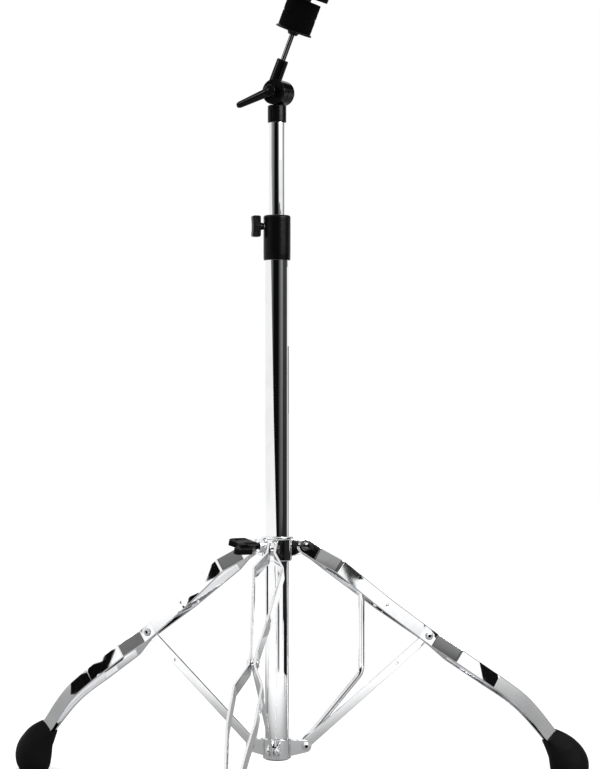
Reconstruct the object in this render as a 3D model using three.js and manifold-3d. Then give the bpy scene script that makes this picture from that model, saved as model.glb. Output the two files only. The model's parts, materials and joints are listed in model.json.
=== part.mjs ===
// Straight cymbal stand: a folding tripod of bowed steel strips, a two-stage tube and a ratchet tilter.
// Millimetres, +Z up, standing on its three rubber feet.
import * as THREE from 'three';
import { mergeVertices } from 'three/addons/utils/BufferGeometryUtils.js';
import Module from 'manifold-3d';

const wasm = await Module();
wasm.setup();

// Fits shared by pieces that meet
const fit = { seat: 0.15, gap: 0.3, turn: 0.4, slide: 0.35, cut: 2, merge: 0.0001 };
const degree = Math.PI / 180;

// Facet counts
const facets = { tube: 28, ring: 28, rivet: 10, hole: 12, felt: 28, foot: 20, grip: 6, rod: 10, tooth: 18 };

// Tubes on the stand's axis
const baseTube = { radius: 14.3, wall: 1.5, length: 643.2, drop: 11.2 };
const upperTube = { radius: 9.525, wall: 1.5, length: 576, reach: 133.5 };
const endPlug = { rim: 2.7, plugLength: 14, chamfer: 1 };

// Leg hub that slides on the base tube
const hub = {
  drop: 16, rise: 13, wall: 3.3, lip: 1.6, lipHeight: 3,
  earThickness: 5.2, earFoot: 3.4, earRadius: 8.2, earHeight: 22, pivotRadius: 35, pivotHeight: 309,
  bossRadius: 8.3, bossLength: 24.7, bossRise: 2, bossTurn: 202.5,
};

// Lower collar that carries the braces
const collar = {
  drop: 12.5, rise: 11.5, wall: 2.3, plate: 2.2, plateGap: 8.4, plateFoot: 20, earRadius: 7.5,
  pivotRadius: 35, pivotHeight: 68.5,
};

// Rivets
const rivet = { shank: 2.5, head: 5, dome: 2.2, rim: 0.8, sleeve: 4.6 };

// Legs, each a pair of strips that bow apart twice
const legNames = ['right', 'left', 'front'];
const leg = {
  firstTurn: 23, strip: 3, width: 17.5, footRadius: 388, footHeight: 45, bowSpread: 19, braceThickness: 3,
  shoulder: 18.4, gaugeHole: 2.1,
};
// Shares of the way out, of the way down and of the bow, from the pivot to the foot
const legShares = {
  bow: [0.112, 0.0931, 1],
  gauge: [0.3003, 0.2803, 0.47],
  nipStart: [0.4448, 0.4121, 0],
  joint: [0.4703, 0.4356, 0],
  nipEnd: [0.494, 0.4587, 0],
  lowerBow: [0.571, 0.5325, 0.89],
  turnIn: [0.72, 0.6618, 0.86],
  knee: [0.7649, 0.7008, 0.72],
  curveA: [0.813, 0.7443, 0.58],
  curveB: [0.8555, 0.7917, 0.43],
  curveC: [0.8952, 0.8466, 0.3],
  curveD: [0.9263, 0.8939, 0.2],
  mouth: [0.9518, 0.9337, 0.12],
  end: [1, 1, 0.02],
};

// Braces and the stay bar
const brace = { width: 11.5, eyeRadius: 6.8, spotRadius: 1.6, spotShare: 0.745 };
const stay = {
  rodRadius: 4, bendRadius: 20, bendOut: 114, bendHeight: 153, topHeight: 250, rodOffset: 5.95,
  flatHalf: 0.9, flatWidth: 6.5, flatLength: 13, blendLength: 24, tipRound: 1.2,
};

// Rubber feet
const foot = {
  neckInPlane: 11.4, neckAcross: 9.7, bulbInPlane: 25.6, bulbAcross: 20.8, neckDrop: 3,
  soleRadius: 401, bellyRadius: 409, bellyHeight: 34, pocketEnd: 0.6, squareNeck: 4, roundBulb: 2,
};
const footRingShares = [0, 0.04, 0.16, 0.3, 0.44, 0.58, 0.74, 0.89, 0.96, 1];
const footSwellShares = [0, 0.08, 0.34, 0.62, 0.84, 0.98, 1, 0.86, 0.66, 0.44];

// Height collar with its wing screw
const heightCollar = {
  skirt: 47.5, roofRise: 6.5, radius: 16.05, belly: 16.3, shoulder: 5.6, capDrop: 0.3, bandRise: 6.4,
  grooveDepth: 0.35, grooveWidth: 0.5, roof: 10.6, bushLength: 48, screwDrop: 7.1, screwTurn: 196,
};
const wingScrew = { shank: 3, neck: 4.8, neckTip: 3.9 };
const collarWing = { start: 21, end: 31, half: 12.8, thickness: 8.6, corner: 2.6, bite: 8.4, roll: 0 };
const hubWing = {
  start: 28.4, flare: 29.5, shoulder: 51, end: 58.5, notch: 50.5,
  neck: 5.4, half: 14.2, tip: 11.8, thickness: 7.2, bite: 13, roll: 64,
};

// Ratchet tilter
const tilter = {
  rise: 20.5, turn: -28, lean: 23.3, discRadius: 15.3, nearDisc: 10, farDisc: 16.5,
  tooth: 0.8, toothInner: 8,
  chamfer: 1.2, barrelRadius: 11.2, socketDepth: 16, webHalf: 6, webDepth: 8.3, webDrop: 24,
  slotWidth: 1.4, slotHeight: 15, slotTurn: 234,
  stemX: -4.8, stemY: -5.2, stemHalfX: 7.2, stemHalfY: 4.7, stemTopX: 6.9, stemTopY: 4.6,
  stemLength: 39, stemRound: 2, stemPower: 3.4, boltRadius: 3, boltHead: 7, boltDome: 3.6,
};
const lever = {
  hubRadius: 7.4, hubLength: 9.6, bore: 7.6, droop: 18.4, length: 45, rootHalf: 5.6, tipHalf: 3.8,
  rootThick: 4.4, tipThick: 3.2, armY: 5.4, power: 2.8,
};

// Cymbal seat on the tilter's rod, as heights along the rod from the hinge
const seat = {
  rodRadius: 3, rodDepth: 15, rodTop: 154, cupHeight: 76, cupThickness: 1.6, cupRadius: 22.3, cupLip: 1.4,
  cupHub: 5.2, hubDrop: 5.5, hubTop: 8.6, feltRadius: 20.4, feltBottom: 77.9, feltTop: 114,
  feltCount: 2, feltRound: 1.2, sleeveRadius: 7.4, sleeveTop: 125.5,
  topFeltBottom: 119, topFeltTop: 130.5, topFeltRadius: 26.4,
  nutBottom: 130.9, nutHeight: 17, nutRadius: 7.2, nutNeck: 5.2,
  wingSpan: 21, wingThickness: 4.6, wingRise: 8, wingRoot: 3.4, wingTurn: 35,
};

// Finishes
const finish = {
  chrome: new THREE.MeshStandardMaterial({ color: 0xdfe1e3, roughness: 0.1, metalness: 1 }),
  steel: new THREE.MeshStandardMaterial({ color: 0x9a9c9f, roughness: 0.28, metalness: 1 }),
  black: new THREE.MeshStandardMaterial({ color: 0x141415, roughness: 0.42, metalness: 0 }),
  rubber: new THREE.MeshStandardMaterial({ color: 0x101010, roughness: 0.8, metalness: 0 }),
  felt: new THREE.MeshStandardMaterial({ color: 0x0e0e0f, roughness: 1, metalness: 0 }),
  nylon: new THREE.MeshStandardMaterial({ color: 0x2a2a2c, roughness: 0.55, metalness: 0 }),
};

// Geometry helpers
const vec = (x, y, z) => new THREE.Vector3(x, y, z);

function signedVolume(geometry) {
  const p = geometry.getAttribute('position');
  const order = geometry.index.array;
  const [a, b, c] = [vec(0, 0, 0), vec(0, 0, 0), vec(0, 0, 0)];
  let sum = 0;
  for (let i = 0; i < order.length; i += 3) {
    a.fromBufferAttribute(p, order[i]);
    b.fromBufferAttribute(p, order[i + 1]);
    c.fromBufferAttribute(p, order[i + 2]);
    sum += a.dot(b.cross(c)) / 6;
  }
  return sum;
}

// Welds a geometry's vertices, drops triangles with no area and turns it to face out
function welded(geometry) {
  const bare = new THREE.BufferGeometry();
  bare.setAttribute('position', geometry.getAttribute('position').clone());
  if (geometry.index) bare.setIndex(geometry.index.clone());
  const merged = mergeVertices(bare, fit.merge);
  const order = merged.index.array;
  const kept = [];
  for (let i = 0; i < order.length; i += 3) {
    const [a, b, c] = [order[i], order[i + 1], order[i + 2]];
    if (a !== b && b !== c && c !== a) kept.push(a, b, c);
  }
  merged.setIndex(kept);
  if (signedVolume(merged) < 0) merged.setIndex(kept.reverse());
  return merged;
}

function faceted(geometry) {
  const flat = geometry.toNonIndexed();
  flat.computeVertexNormals();
  return flat;
}

function manifold(geometry) {
  const mesh = welded(geometry);
  return new wasm.Manifold(new wasm.Mesh({
    numProp: 3,
    vertProperties: Float32Array.from(mesh.getAttribute('position').array),
    triVerts: Uint32Array.from(mesh.index.array),
  }));
}

function fromManifold(solid) {
  const mesh = solid.getMesh();
  const geometry = new THREE.BufferGeometry();
  geometry.setAttribute('position', new THREE.BufferAttribute(Float32Array.from(mesh.vertProperties), 3));
  geometry.setIndex(Array.from(mesh.triVerts));
  return faceted(geometry);
}

const join = (first, ...rest) => (
  fromManifold(rest.reduce((sum, g) => sum.add(manifold(g)), manifold(first)))
);
const cut = (first, ...rest) => (
  fromManifold(rest.reduce((sum, g) => sum.subtract(manifold(g)), manifold(first)))
);

// Skins a row of sections that have the same number of points, and closes both ends with fans
function loft(sections) {
  const count = sections[0].length;
  const points = sections.flat();
  const order = [];
  for (let s = 0; s + 1 < sections.length; s += 1) {
    for (let i = 0; i < count; i += 1) {
      const next = (i + 1) % count;
      const [a, b] = [s * count + i, s * count + next];
      order.push(a, b, b + count, a, b + count, a + count);
    }
  }
  const last = sections.length - 1;
  const ends = [[0, sections[0], false], [last * count, sections[last], true]];
  for (const [start, section, closing] of ends) {
    const middle = section.reduce((sum, p) => sum.add(p), vec(0, 0, 0)).divideScalar(count);
    points.push(middle);
    for (let i = 0; i < count; i += 1) {
      const [a, b] = [start + i, start + (i + 1) % count];
      if (closing) order.push(points.length - 1, a, b);
      else order.push(points.length - 1, b, a);
    }
  }
  const geometry = new THREE.BufferGeometry();
  const numbers = points.flatMap((p) => [p.x, p.y, p.z]);
  geometry.setAttribute('position', new THREE.Float32BufferAttribute(numbers, 3));
  geometry.setIndex(order);
  return faceted(welded(geometry));
}

// Revolves [radius, height] pairs about Z; the profile ends on the axis or closes on itself
function turned(profile, faces) {
  const points = profile.map(([radius, height]) => new THREE.Vector2(radius, height));
  const geometry = new THREE.LatheGeometry(points, faces);
  geometry.rotateX(Math.PI / 2);
  return faceted(welded(geometry));
}

const rod = (radius, bottom, top, faces) => (
  turned([[0, bottom], [radius, bottom], [radius, top], [0, top]], faces)
);
const ring = (inner, outer, bottom, top, faces) => (
  turned([[inner, bottom], [outer, bottom], [outer, top], [inner, top], [inner, bottom]], faces)
);
const alongY = (geometry) => geometry.rotateX(-Math.PI / 2);
const alongX = (geometry) => geometry.rotateY(Math.PI / 2);

// A flat plate whose outline lies in XZ, centred on y
function plate(shape, thickness, y) {
  const geometry = new THREE.ExtrudeGeometry(shape, {
    depth: thickness, bevelEnabled: false, curveSegments: facets.grip,
  });
  geometry.rotateX(Math.PI / 2);
  geometry.translate(0, y + thickness / 2, 0);
  return geometry;
}

// An ear outline: a foot of the given height narrowing to a round eye
function earShape(start, footBottom, footTop, eyeX, eyeZ, radius) {
  const shape = new THREE.Shape();
  shape.moveTo(start, footBottom);
  shape.lineTo(eyeX, eyeZ - radius);
  shape.absarc(eyeX, eyeZ, radius, -Math.PI / 2, Math.PI / 2, false);
  shape.lineTo(start, footTop);
  shape.closePath();
  return shape;
}

// A superellipse section: round at power 2, squarer above it
function rounded(centre, along, across, halfAlong, halfAcross, power, faces) {
  const points = [];
  for (let i = 0; i < faces; i += 1) {
    const angle = (i / faces) * 2 * Math.PI;
    const [c, s] = [Math.cos(angle), Math.sin(angle)];
    const a = Math.sign(c) * Math.abs(c) ** (2 / power) * halfAlong;
    const b = Math.sign(s) * Math.abs(s) ** (2 / power) * halfAcross;
    points.push(centre.clone().addScaledVector(along, a).addScaledVector(across, b));
  }
  return points;
}

const sideways = vec(0, 1, 0);
const mix = (a, b, share) => a + (b - a) * share;

// Values worked out from the sizes above
const hubBore = baseTube.radius + fit.slide;
const hubOuter = hubBore + hub.wall;
const collarBore = baseTube.radius + fit.gap;
const collarOuter = collarBore + collar.wall;
const hubSpread = hub.earThickness / 2 + fit.turn + leg.strip / 2;
const nipSpread = leg.braceThickness / 2 + fit.turn + leg.strip / 2;
const hubBottom = hub.pivotHeight - hub.drop;
const hubTop = hub.pivotHeight + hub.rise;
const bossHeight = hub.pivotHeight + hub.bossRise;
const collarBottom = collar.pivotHeight - collar.drop;
const collarTop = collar.pivotHeight + collar.rise;
const baseTubeBottom = collar.pivotHeight - baseTube.drop;
const baseTubeTop = baseTubeBottom + baseTube.length;
const screwHeight = baseTubeTop - heightCollar.screwDrop;
const upperTubeTop = baseTubeTop + upperTube.reach;
const upperTubeBottom = upperTubeTop - upperTube.length;
const upperTubeBore = upperTube.radius + fit.gap;
const hingeHeight = upperTubeTop + tilter.rise;

// Leg stations: place, half width and half spread of the pair
function legPoint([outShare, downShare, bowShare]) {
  return {
    x: mix(hub.pivotRadius, leg.footRadius, outShare),
    z: mix(hub.pivotHeight, leg.footHeight, downShare),
    spread: mix(nipSpread, leg.bowSpread, bowShare),
    half: leg.width / 2,
  };
}

function legStations() {
  const pivot = { x: hub.pivotRadius, z: hub.pivotHeight, spread: hubSpread, half: leg.width / 2 };
  const body = Object.values(legShares).map(legPoint);
  const reach = Math.hypot(body[0].x - pivot.x, body[0].z - pivot.z);
  const heading = { x: (body[0].x - pivot.x) / reach, z: (body[0].z - pivot.z) / reach };
  const roundAngles = [80, 62, 42, 21];
  const end = roundAngles.map((angle) => ({
    x: pivot.x - heading.x * pivot.half * Math.sin(angle * degree),
    z: pivot.z - heading.z * pivot.half * Math.sin(angle * degree),
    spread: hubSpread,
    half: pivot.half * Math.cos(angle * degree),
  }));
  const shoulder = {
    x: pivot.x + heading.x * leg.shoulder,
    z: pivot.z + heading.z * leg.shoulder,
    spread: hubSpread,
    half: pivot.half,
  };
  return [...end, pivot, shoulder, ...body];
}

// Boxes of a strip along its stations; grow widens it for pockets
function stripSections(stations, inner, outer, grow) {
  return stations.map((station, i) => {
    const before = stations[Math.max(i - 1, 0)];
    const after = stations[Math.min(i + 1, stations.length - 1)];
    const length = Math.hypot(after.x - before.x, after.z - before.z);
    const normal = vec(-(after.z - before.z) / length, 0, (after.x - before.x) / length);
    const top = vec(station.x, 0, station.z).addScaledVector(normal, station.half + grow);
    const low = vec(station.x, 0, station.z).addScaledVector(normal, -station.half - grow);
    const [y0, y1] = [inner(station), outer(station)];
    return [vec(top.x, y0, top.z), vec(top.x, y1, top.z), vec(low.x, y1, low.z), vec(low.x, y0, low.z)];
  });
}

const pinHole = (x, z, radius) => {
  const half = leg.bowSpread + leg.width;
  const hole = alongY(rod(radius, -half, half, facets.hole));
  hole.translate(x, 0, z);
  return hole;
};

const legJoint = legPoint(legShares.joint);
const legGauge = legPoint(legShares.gauge);

function legStrip(side) {
  const inner = (s) => side * (s.spread - leg.strip / 2);
  const outer = (s) => side * (s.spread + leg.strip / 2);
  return cut(
    loft(stripSections(legStations(), inner, outer, 0)),
    pinHole(hub.pivotRadius, hub.pivotHeight, rivet.shank + fit.gap),
    pinHole(legGauge.x, legGauge.z, leg.gaugeHole),
    pinHole(legJoint.x, legJoint.z, rivet.shank + fit.gap),
  );
}

// Half of a rivet's outline, from a y on the shank out over its domed head
function headOutline(start, seatAt) {
  const rimTop = seatAt + rivet.rim;
  const domeTop = seatAt + rivet.dome;
  const crown = [rivet.head * Math.SQRT1_2, mix(rimTop, domeTop, Math.SQRT1_2)];
  const stem = [[rivet.shank, start], [rivet.shank, seatAt]];
  return [...stem, [rivet.head, seatAt], [rivet.head, rimTop], crown, [0, domeTop]];
}

// A whole rivet across the leg, with a head at each end
function crossRivet(seatAt) {
  const upper = headOutline(seatAt, seatAt);
  const lower = upper.map(([r, y]) => [r, -y]).reverse();
  return alongY(turned([...lower, ...upper], facets.rivet));
}

function halfRivet(side) {
  const face = nipSpread + leg.strip / 2;
  const start = nipSpread - leg.strip / 2 + fit.gap;
  const solid = alongY(turned([[0, start], ...headOutline(start, face + fit.seat)], facets.rivet));
  if (side < 0) solid.rotateZ(Math.PI);
  return solid;
}

// The rubber foot: rings that swell from a square neck and turn level at the sole
function rubberFoot() {
  const mouth = legPoint(legShares.mouth);
  const end = legPoint(legShares.end);
  const fall = Math.atan2(mouth.z - end.z, end.x - mouth.x);
  const neck = new THREE.Vector2(
    mouth.x + Math.cos(fall) * foot.neckDrop,
    mouth.z - Math.sin(fall) * foot.neckDrop,
  );
  const path = new THREE.QuadraticBezierCurve(
    neck,
    new THREE.Vector2(foot.bellyRadius, foot.bellyHeight),
    new THREE.Vector2(foot.soleRadius, 0),
  );
  const sections = footRingShares.map((share, i) => {
    const place = path.getPoint(share);
    const tilt = mix(fall, Math.PI / 2, share ** 0.8);
    const swell = footSwellShares[i];
    const along = vec(Math.sin(tilt), 0, Math.cos(tilt));
    const power = mix(foot.squareNeck, foot.roundBulb, Math.min(swell * 1.4, 1));
    return rounded(
      vec(place.x, 0, place.y), along, sideways,
      mix(foot.neckInPlane, foot.bulbInPlane, swell), mix(foot.neckAcross, foot.bulbAcross, swell),
      power, facets.foot,
    );
  });
  const all = legStations();
  const inside = all.slice(-3);
  const last = inside[inside.length - 1];
  const tail = {
    ...last,
    x: last.x + Math.cos(fall) * foot.pocketEnd,
    z: last.z - Math.sin(fall) * foot.pocketEnd,
  };
  const wall = (s) => s.spread + leg.strip / 2 + fit.gap;
  const pocket = loft(stripSections([...inside, tail], (s) => -wall(s), wall, fit.gap));
  return cut(loft(sections), pocket);
}

function braceBar() {
  const run = Math.hypot(legJoint.x - collar.pivotRadius, legJoint.z - collar.pivotHeight);
  const shape = new THREE.Shape();
  const half = brace.width / 2;
  const open = Math.asin(half / brace.eyeRadius);
  shape.absarc(0, 0, brace.eyeRadius, open, 2 * Math.PI - open, false);
  shape.absarc(run, 0, brace.eyeRadius, open - Math.PI, Math.PI - open, false);
  shape.closePath();
  const eye = rivet.shank + fit.gap;
  for (const [x, radius] of [[0, eye], [run, eye], [run * brace.spotShare, brace.spotRadius]]) {
    const hole = new THREE.Path();
    hole.absarc(x, 0, radius, 0, 2 * Math.PI, true);
    shape.holes.push(hole);
  }
  const bar = plate(shape, leg.braceThickness, 0);
  bar.rotateY(-Math.atan2(legJoint.z - collar.pivotHeight, legJoint.x - collar.pivotRadius));
  bar.translate(collar.pivotRadius, 0, collar.pivotHeight);
  return faceted(welded(bar));
}

// The stay bar: a flattened eye on the collar's rivet, a straight run, one bend and an upright
function stayBar() {
  const start = new THREE.Vector2(collar.pivotRadius, collar.pivotHeight);
  const corner = new THREE.Vector2(stay.bendOut, stay.bendHeight);
  const climb = Math.atan2(corner.y - start.y, corner.x - start.x);
  const turnAngle = Math.PI / 2 - climb;
  const back = stay.bendRadius * Math.tan(turnAngle / 2);
  const run = start.distanceTo(corner) - back;
  const flatY = leg.braceThickness / 2 + fit.turn + fit.seat + stay.flatHalf;
  const places = [];
  for (const angle of [78, 56, 30]) {
    places.push([-stay.flatWidth * Math.sin(angle * degree), stay.flatWidth * Math.cos(angle * degree), 0]);
  }
  places.push([0, stay.flatWidth, 0], [stay.flatLength, stay.flatWidth - stay.tipRound, 0]);
  places.push([stay.blendLength, stay.rodRadius, 1], [run, stay.rodRadius, 1]);
  const heading = vec(Math.cos(climb), 0, Math.sin(climb));
  const inward = vec(-Math.sin(climb), 0, Math.cos(climb));
  const sections = places.map(([distance, half, share]) => rounded(
    vec(start.x, mix(flatY, stay.rodOffset, share), start.y).addScaledVector(heading, distance),
    inward, sideways, half, mix(stay.flatHalf, stay.rodRadius, share),
    mix(foot.squareNeck, foot.roundBulb, share), facets.rod,
  ));
  const steps = 5;
  const bendStart = vec(start.x, stay.rodOffset, start.y).addScaledVector(heading, run);
  const hubOfBend = bendStart.clone().addScaledVector(inward, stay.bendRadius);
  for (let i = 1; i <= steps; i += 1) {
    const angle = climb + turnAngle * (i / steps);
    const away = vec(Math.sin(angle), 0, -Math.cos(angle));
    const centre = hubOfBend.clone().addScaledVector(away, stay.bendRadius);
    const across = vec(-Math.sin(angle), 0, Math.cos(angle));
    sections.push(rounded(
      centre, across, sideways, stay.rodRadius, stay.rodRadius, foot.roundBulb, facets.rod,
    ));
  }
  const backward = vec(-1, 0, 0);
  for (const shrink of [0, stay.tipRound]) {
    const centre = vec(corner.x, stay.rodOffset, stay.topHeight - stay.tipRound + shrink);
    const radius = stay.rodRadius - shrink;
    sections.push(rounded(centre, backward, sideways, radius, radius, foot.roundBulb, facets.rod));
  }
  const bar = loft(sections);
  return cut(bar, pinHole(collar.pivotRadius, collar.pivotHeight, rivet.shank + fit.gap));
}

function hubBracket() {
  const lipStart = hubTop - hub.lipHeight;
  const body = turned([
    [hubBore, hubBottom], [hubOuter, hubBottom], [hubOuter, lipStart], [hubOuter + hub.lip, lipStart],
    [hubOuter + hub.lip, hubTop], [hubBore, hubTop], [hubBore, hubBottom],
  ], facets.ring);
  const start = hubBore + hub.wall / 2;
  const footLow = hubBottom + hub.earFoot;
  const pieces = legNames.map((_, i) => {
    const ear = plate(
      earShape(start, footLow, footLow + hub.earHeight, hub.pivotRadius, hub.pivotHeight, hub.earRadius),
      hub.earThickness, 0,
    );
    return ear.rotateZ(legTurn(i));
  });
  const boss = alongX(rod(hub.bossRadius, start, hub.bossLength, facets.hole));
  boss.translate(0, 0, bossHeight).rotateZ(hub.bossTurn * degree);
  const holes = legNames.map((_, i) => (
    pinHole(hub.pivotRadius, hub.pivotHeight, rivet.shank + fit.gap).rotateZ(legTurn(i))
  ));
  const screwHole = screwHoleAt(0, hub.bossLength + fit.cut, bossHeight, hub.bossTurn);
  const bore = rod(hubBore, hubBottom - fit.cut, hubTop + fit.cut, facets.ring);
  return cut(join(body, ...pieces, boss), bore, ...holes, screwHole);
}

function legTurn(index) {
  return (leg.firstTurn + index * (360 / legNames.length)) * degree;
}

function bottomCollar() {
  const body = ring(collarBore, collarOuter, collarBottom, collarTop, facets.ring);
  const start = collarBore + fit.gap;
  const plateY = collar.plateGap / 2 + collar.plate / 2;
  const footLow = (collarBottom + collarTop - collar.plateFoot) / 2;
  const outline = earShape(
    start, footLow, footLow + collar.plateFoot, collar.pivotRadius, collar.pivotHeight, collar.earRadius,
  );
  const ears = legNames.flatMap((_, i) => [1, -1].map((side) => plate(
    outline, collar.plate, side * plateY,
  ).rotateZ(legTurn(i))));
  const holes = legNames.map((_, i) => (
    pinHole(collar.pivotRadius, collar.pivotHeight, rivet.shank + fit.gap).rotateZ(legTurn(i))
  ));
  const bore = rod(collarBore, collarBottom - fit.cut, collarTop + fit.cut, facets.ring);
  return cut(join(body, ...ears), bore, ...holes);
}

// The collar's rivet fills the space beside the brace with a sleeve, or leaves one side to the stay bar
function collarRivet(hasStay) {
  const seatAt = collar.plateGap / 2 + collar.plate + fit.seat;
  const near = leg.braceThickness / 2 + fit.turn;
  const far = collar.plateGap / 2 - fit.seat;
  const upper = headOutline(seatAt, seatAt);
  const lower = upper.map(([r, y]) => [r, -y]).reverse();
  const step = (from, to) => [
    [rivet.shank, from], [rivet.sleeve, from], [rivet.sleeve, to], [rivet.shank, to],
  ];
  const profile = [...lower, ...step(-far, -near), ...(hasStay ? [] : step(near, far)), ...upper];
  return alongY(turned(profile, facets.rivet));
}

function endPlugSolid() {
  const inside = baseTube.radius - baseTube.wall - fit.seat;
  const rimTop = baseTubeBottom - fit.seat;
  const bottom = rimTop - endPlug.rim;
  return turned([
    [0, bottom], [baseTube.radius - endPlug.chamfer, bottom], [baseTube.radius, bottom + endPlug.chamfer],
    [baseTube.radius, rimTop], [inside, rimTop], [inside, rimTop + endPlug.plugLength],
    [0, rimTop + endPlug.plugLength],
  ], facets.tube);
}

function screwHoleAt(from, to, height, turn) {
  const hole = alongX(rod(wingScrew.shank + fit.gap, from, to, facets.hole));
  return hole.translate(0, 0, height).rotateZ(turn * degree);
}

function heightCollarSolid() {
  const h = heightCollar;
  const lowBore = baseTube.radius + fit.gap;
  const roofAt = baseTubeTop + fit.gap;
  const groove = (z) => [
    [h.belly, z - h.grooveWidth], [h.belly - h.grooveDepth, z], [h.belly, z + h.grooveWidth],
  ];
  const bottom = baseTubeTop - h.skirt;
  const top = baseTubeTop + h.roofRise;
  const shoulderStart = top - h.shoulder;
  const arc = [0.25, 0.5, 0.75].map((share) => [
    h.belly - h.shoulder * (1 - Math.cos(share * Math.PI / 2)),
    shoulderStart + h.shoulder * Math.sin(share * Math.PI / 2),
  ]);
  const body = turned([
    [lowBore, bottom], [h.radius - fit.gap, bottom], [h.radius, bottom + 2 * fit.gap],
    ...groove(bottom + h.bandRise), ...groove(baseTubeTop - h.capDrop), [h.belly, shoulderStart], ...arc,
    [h.roof, top], [upperTubeBore, top - (h.roof - upperTubeBore)], [upperTubeBore, roofAt],
    [lowBore, roofAt], [lowBore, bottom],
  ], facets.ring);
  return cut(body, screwHoleAt(0, h.radius + h.shoulder, screwHeight, h.screwTurn));
}

function baseTubeSolid() {
  const inside = baseTube.radius - baseTube.wall;
  const reach = baseTube.radius + fit.cut;
  const body = ring(inside, baseTube.radius, baseTubeBottom, baseTubeTop, facets.tube);
  return cut(body, screwHoleAt(0, reach, screwHeight, heightCollar.screwTurn));
}

function bushSolid() {
  const outer = baseTube.radius - baseTube.wall - fit.seat;
  const inner = upperTube.radius + fit.slide;
  const body = ring(inner, outer, baseTubeTop - heightCollar.bushLength, baseTubeTop, facets.tube);
  return cut(body, screwHoleAt(0, outer + fit.cut, screwHeight, heightCollar.screwTurn));
}

// A wing screw's shank, from the tube it presses on to a blind end inside its wing
function screwShank(tip, wingStart, bite) {
  return alongX(rod(wingScrew.shank, tip, wingStart + bite / 2, facets.hole));
}

function wingSolid(shape, size, neckRadius, neckFrom, neckTo) {
  const wing = plate(shape, size.thickness, 0);
  const end = neckTo + size.bite;
  const neck = alongX(turned([
    [0, neckFrom], [wingScrew.neckTip, neckFrom], [neckRadius, neckTo], [neckRadius, end], [0, end],
  ], facets.hole));
  const boreEnd = neckTo + size.bite / 2 + fit.gap;
  const bore = alongX(rod(wingScrew.shank + fit.gap, neckFrom - fit.cut, boreEnd, facets.hole));
  return cut(join(wing, neck), bore);
}

function collarWingShape() {
  const w = collarWing;
  const shape = new THREE.Shape();
  shape.moveTo(w.start + w.corner, -w.half);
  shape.lineTo(w.end - w.corner, -w.half);
  shape.quadraticCurveTo(w.end, -w.half, w.end, -w.half + w.corner);
  shape.quadraticCurveTo(w.end - w.corner / 2, 0, w.end, w.half - w.corner);
  shape.quadraticCurveTo(w.end, w.half, w.end - w.corner, w.half);
  shape.lineTo(w.start + w.corner, w.half);
  shape.quadraticCurveTo(w.start, w.half, w.start, w.half - w.corner);
  shape.lineTo(w.start, -w.half + w.corner);
  shape.quadraticCurveTo(w.start, -w.half, w.start + w.corner, -w.half);
  return shape;
}

function hubWingShape() {
  const w = hubWing;
  const shape = new THREE.Shape();
  shape.moveTo(w.start, -w.neck);
  shape.quadraticCurveTo(w.flare, -w.neck, w.flare + (w.shoulder - w.flare) / 3, -w.half);
  shape.lineTo(w.shoulder, -w.half);
  shape.quadraticCurveTo(w.end, -w.half, w.end, -w.tip + w.neck / 2);
  shape.quadraticCurveTo(w.notch, -w.neck / 2, w.notch, 0);
  shape.quadraticCurveTo(w.notch, w.neck / 2, w.end, w.tip - w.neck / 2);
  shape.quadraticCurveTo(w.end, w.half, w.shoulder, w.half);
  shape.lineTo(w.flare + (w.shoulder - w.flare) / 3, w.half);
  shape.quadraticCurveTo(w.flare, w.neck, w.start, w.neck);
  shape.closePath();
  return shape;
}

// A ratchet disc on the hinge axis: its toothed face looks along +Y or -Y
function ratchetDisc(backY, faceY) {
  const toward = Math.sign(faceY - backY);
  const steps = facets.tooth * 2;
  const circle = (radius, depth) => {
    const points = [];
    for (let i = 0; i < steps; i += 1) {
      const angle = (i / steps) * 2 * Math.PI;
      points.push(vec(radius * Math.cos(angle), depth(i), radius * Math.sin(angle)));
    }
    return points;
  };
  const root = faceY - toward * tilter.tooth;
  return loft([
    circle(tilter.discRadius - tilter.chamfer, () => backY),
    circle(tilter.discRadius, () => backY + toward * tilter.chamfer),
    circle(tilter.discRadius, (i) => (i % 2 ? faceY : root)),
    circle(tilter.toothInner, () => root),
  ]);
}

function tilterBody() {
  const t = tilter;
  const drop = -t.rise - t.socketDepth;
  const barrelTop = -t.discRadius - fit.gap;
  const barrel = turned([
    [0, drop], [t.barrelRadius - t.chamfer, drop], [t.barrelRadius, drop + t.chamfer],
    [t.barrelRadius, barrelTop - t.chamfer], [t.barrelRadius - t.chamfer, barrelTop], [0, barrelTop],
  ], facets.ring);
  const disc = ratchetDisc(fit.gap + t.farDisc, fit.gap);
  const webStart = fit.gap + t.tooth;
  const web = new THREE.BoxGeometry(2 * t.webHalf, t.webDepth, t.webDrop);
  web.translate(0, webStart + t.webDepth / 2, -t.webDrop / 2);
  const bore = rod(upperTubeBore, drop - fit.cut, fit.gap - t.rise, facets.ring);
  const boltHole = alongY(rod(t.boltRadius + fit.seat, -fit.cut, t.farDisc + fit.cut, facets.hole));
  const slot = new THREE.BoxGeometry(t.barrelRadius + fit.cut, t.slotWidth, t.slotHeight + fit.cut);
  slot.translate((t.barrelRadius + fit.cut) / 2, 0, drop + (t.slotHeight - fit.cut) / 2);
  slot.rotateZ((t.slotTurn - t.turn) * degree);
  return cut(join(barrel, disc, web), bore, boltHole, slot);
}

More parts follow.
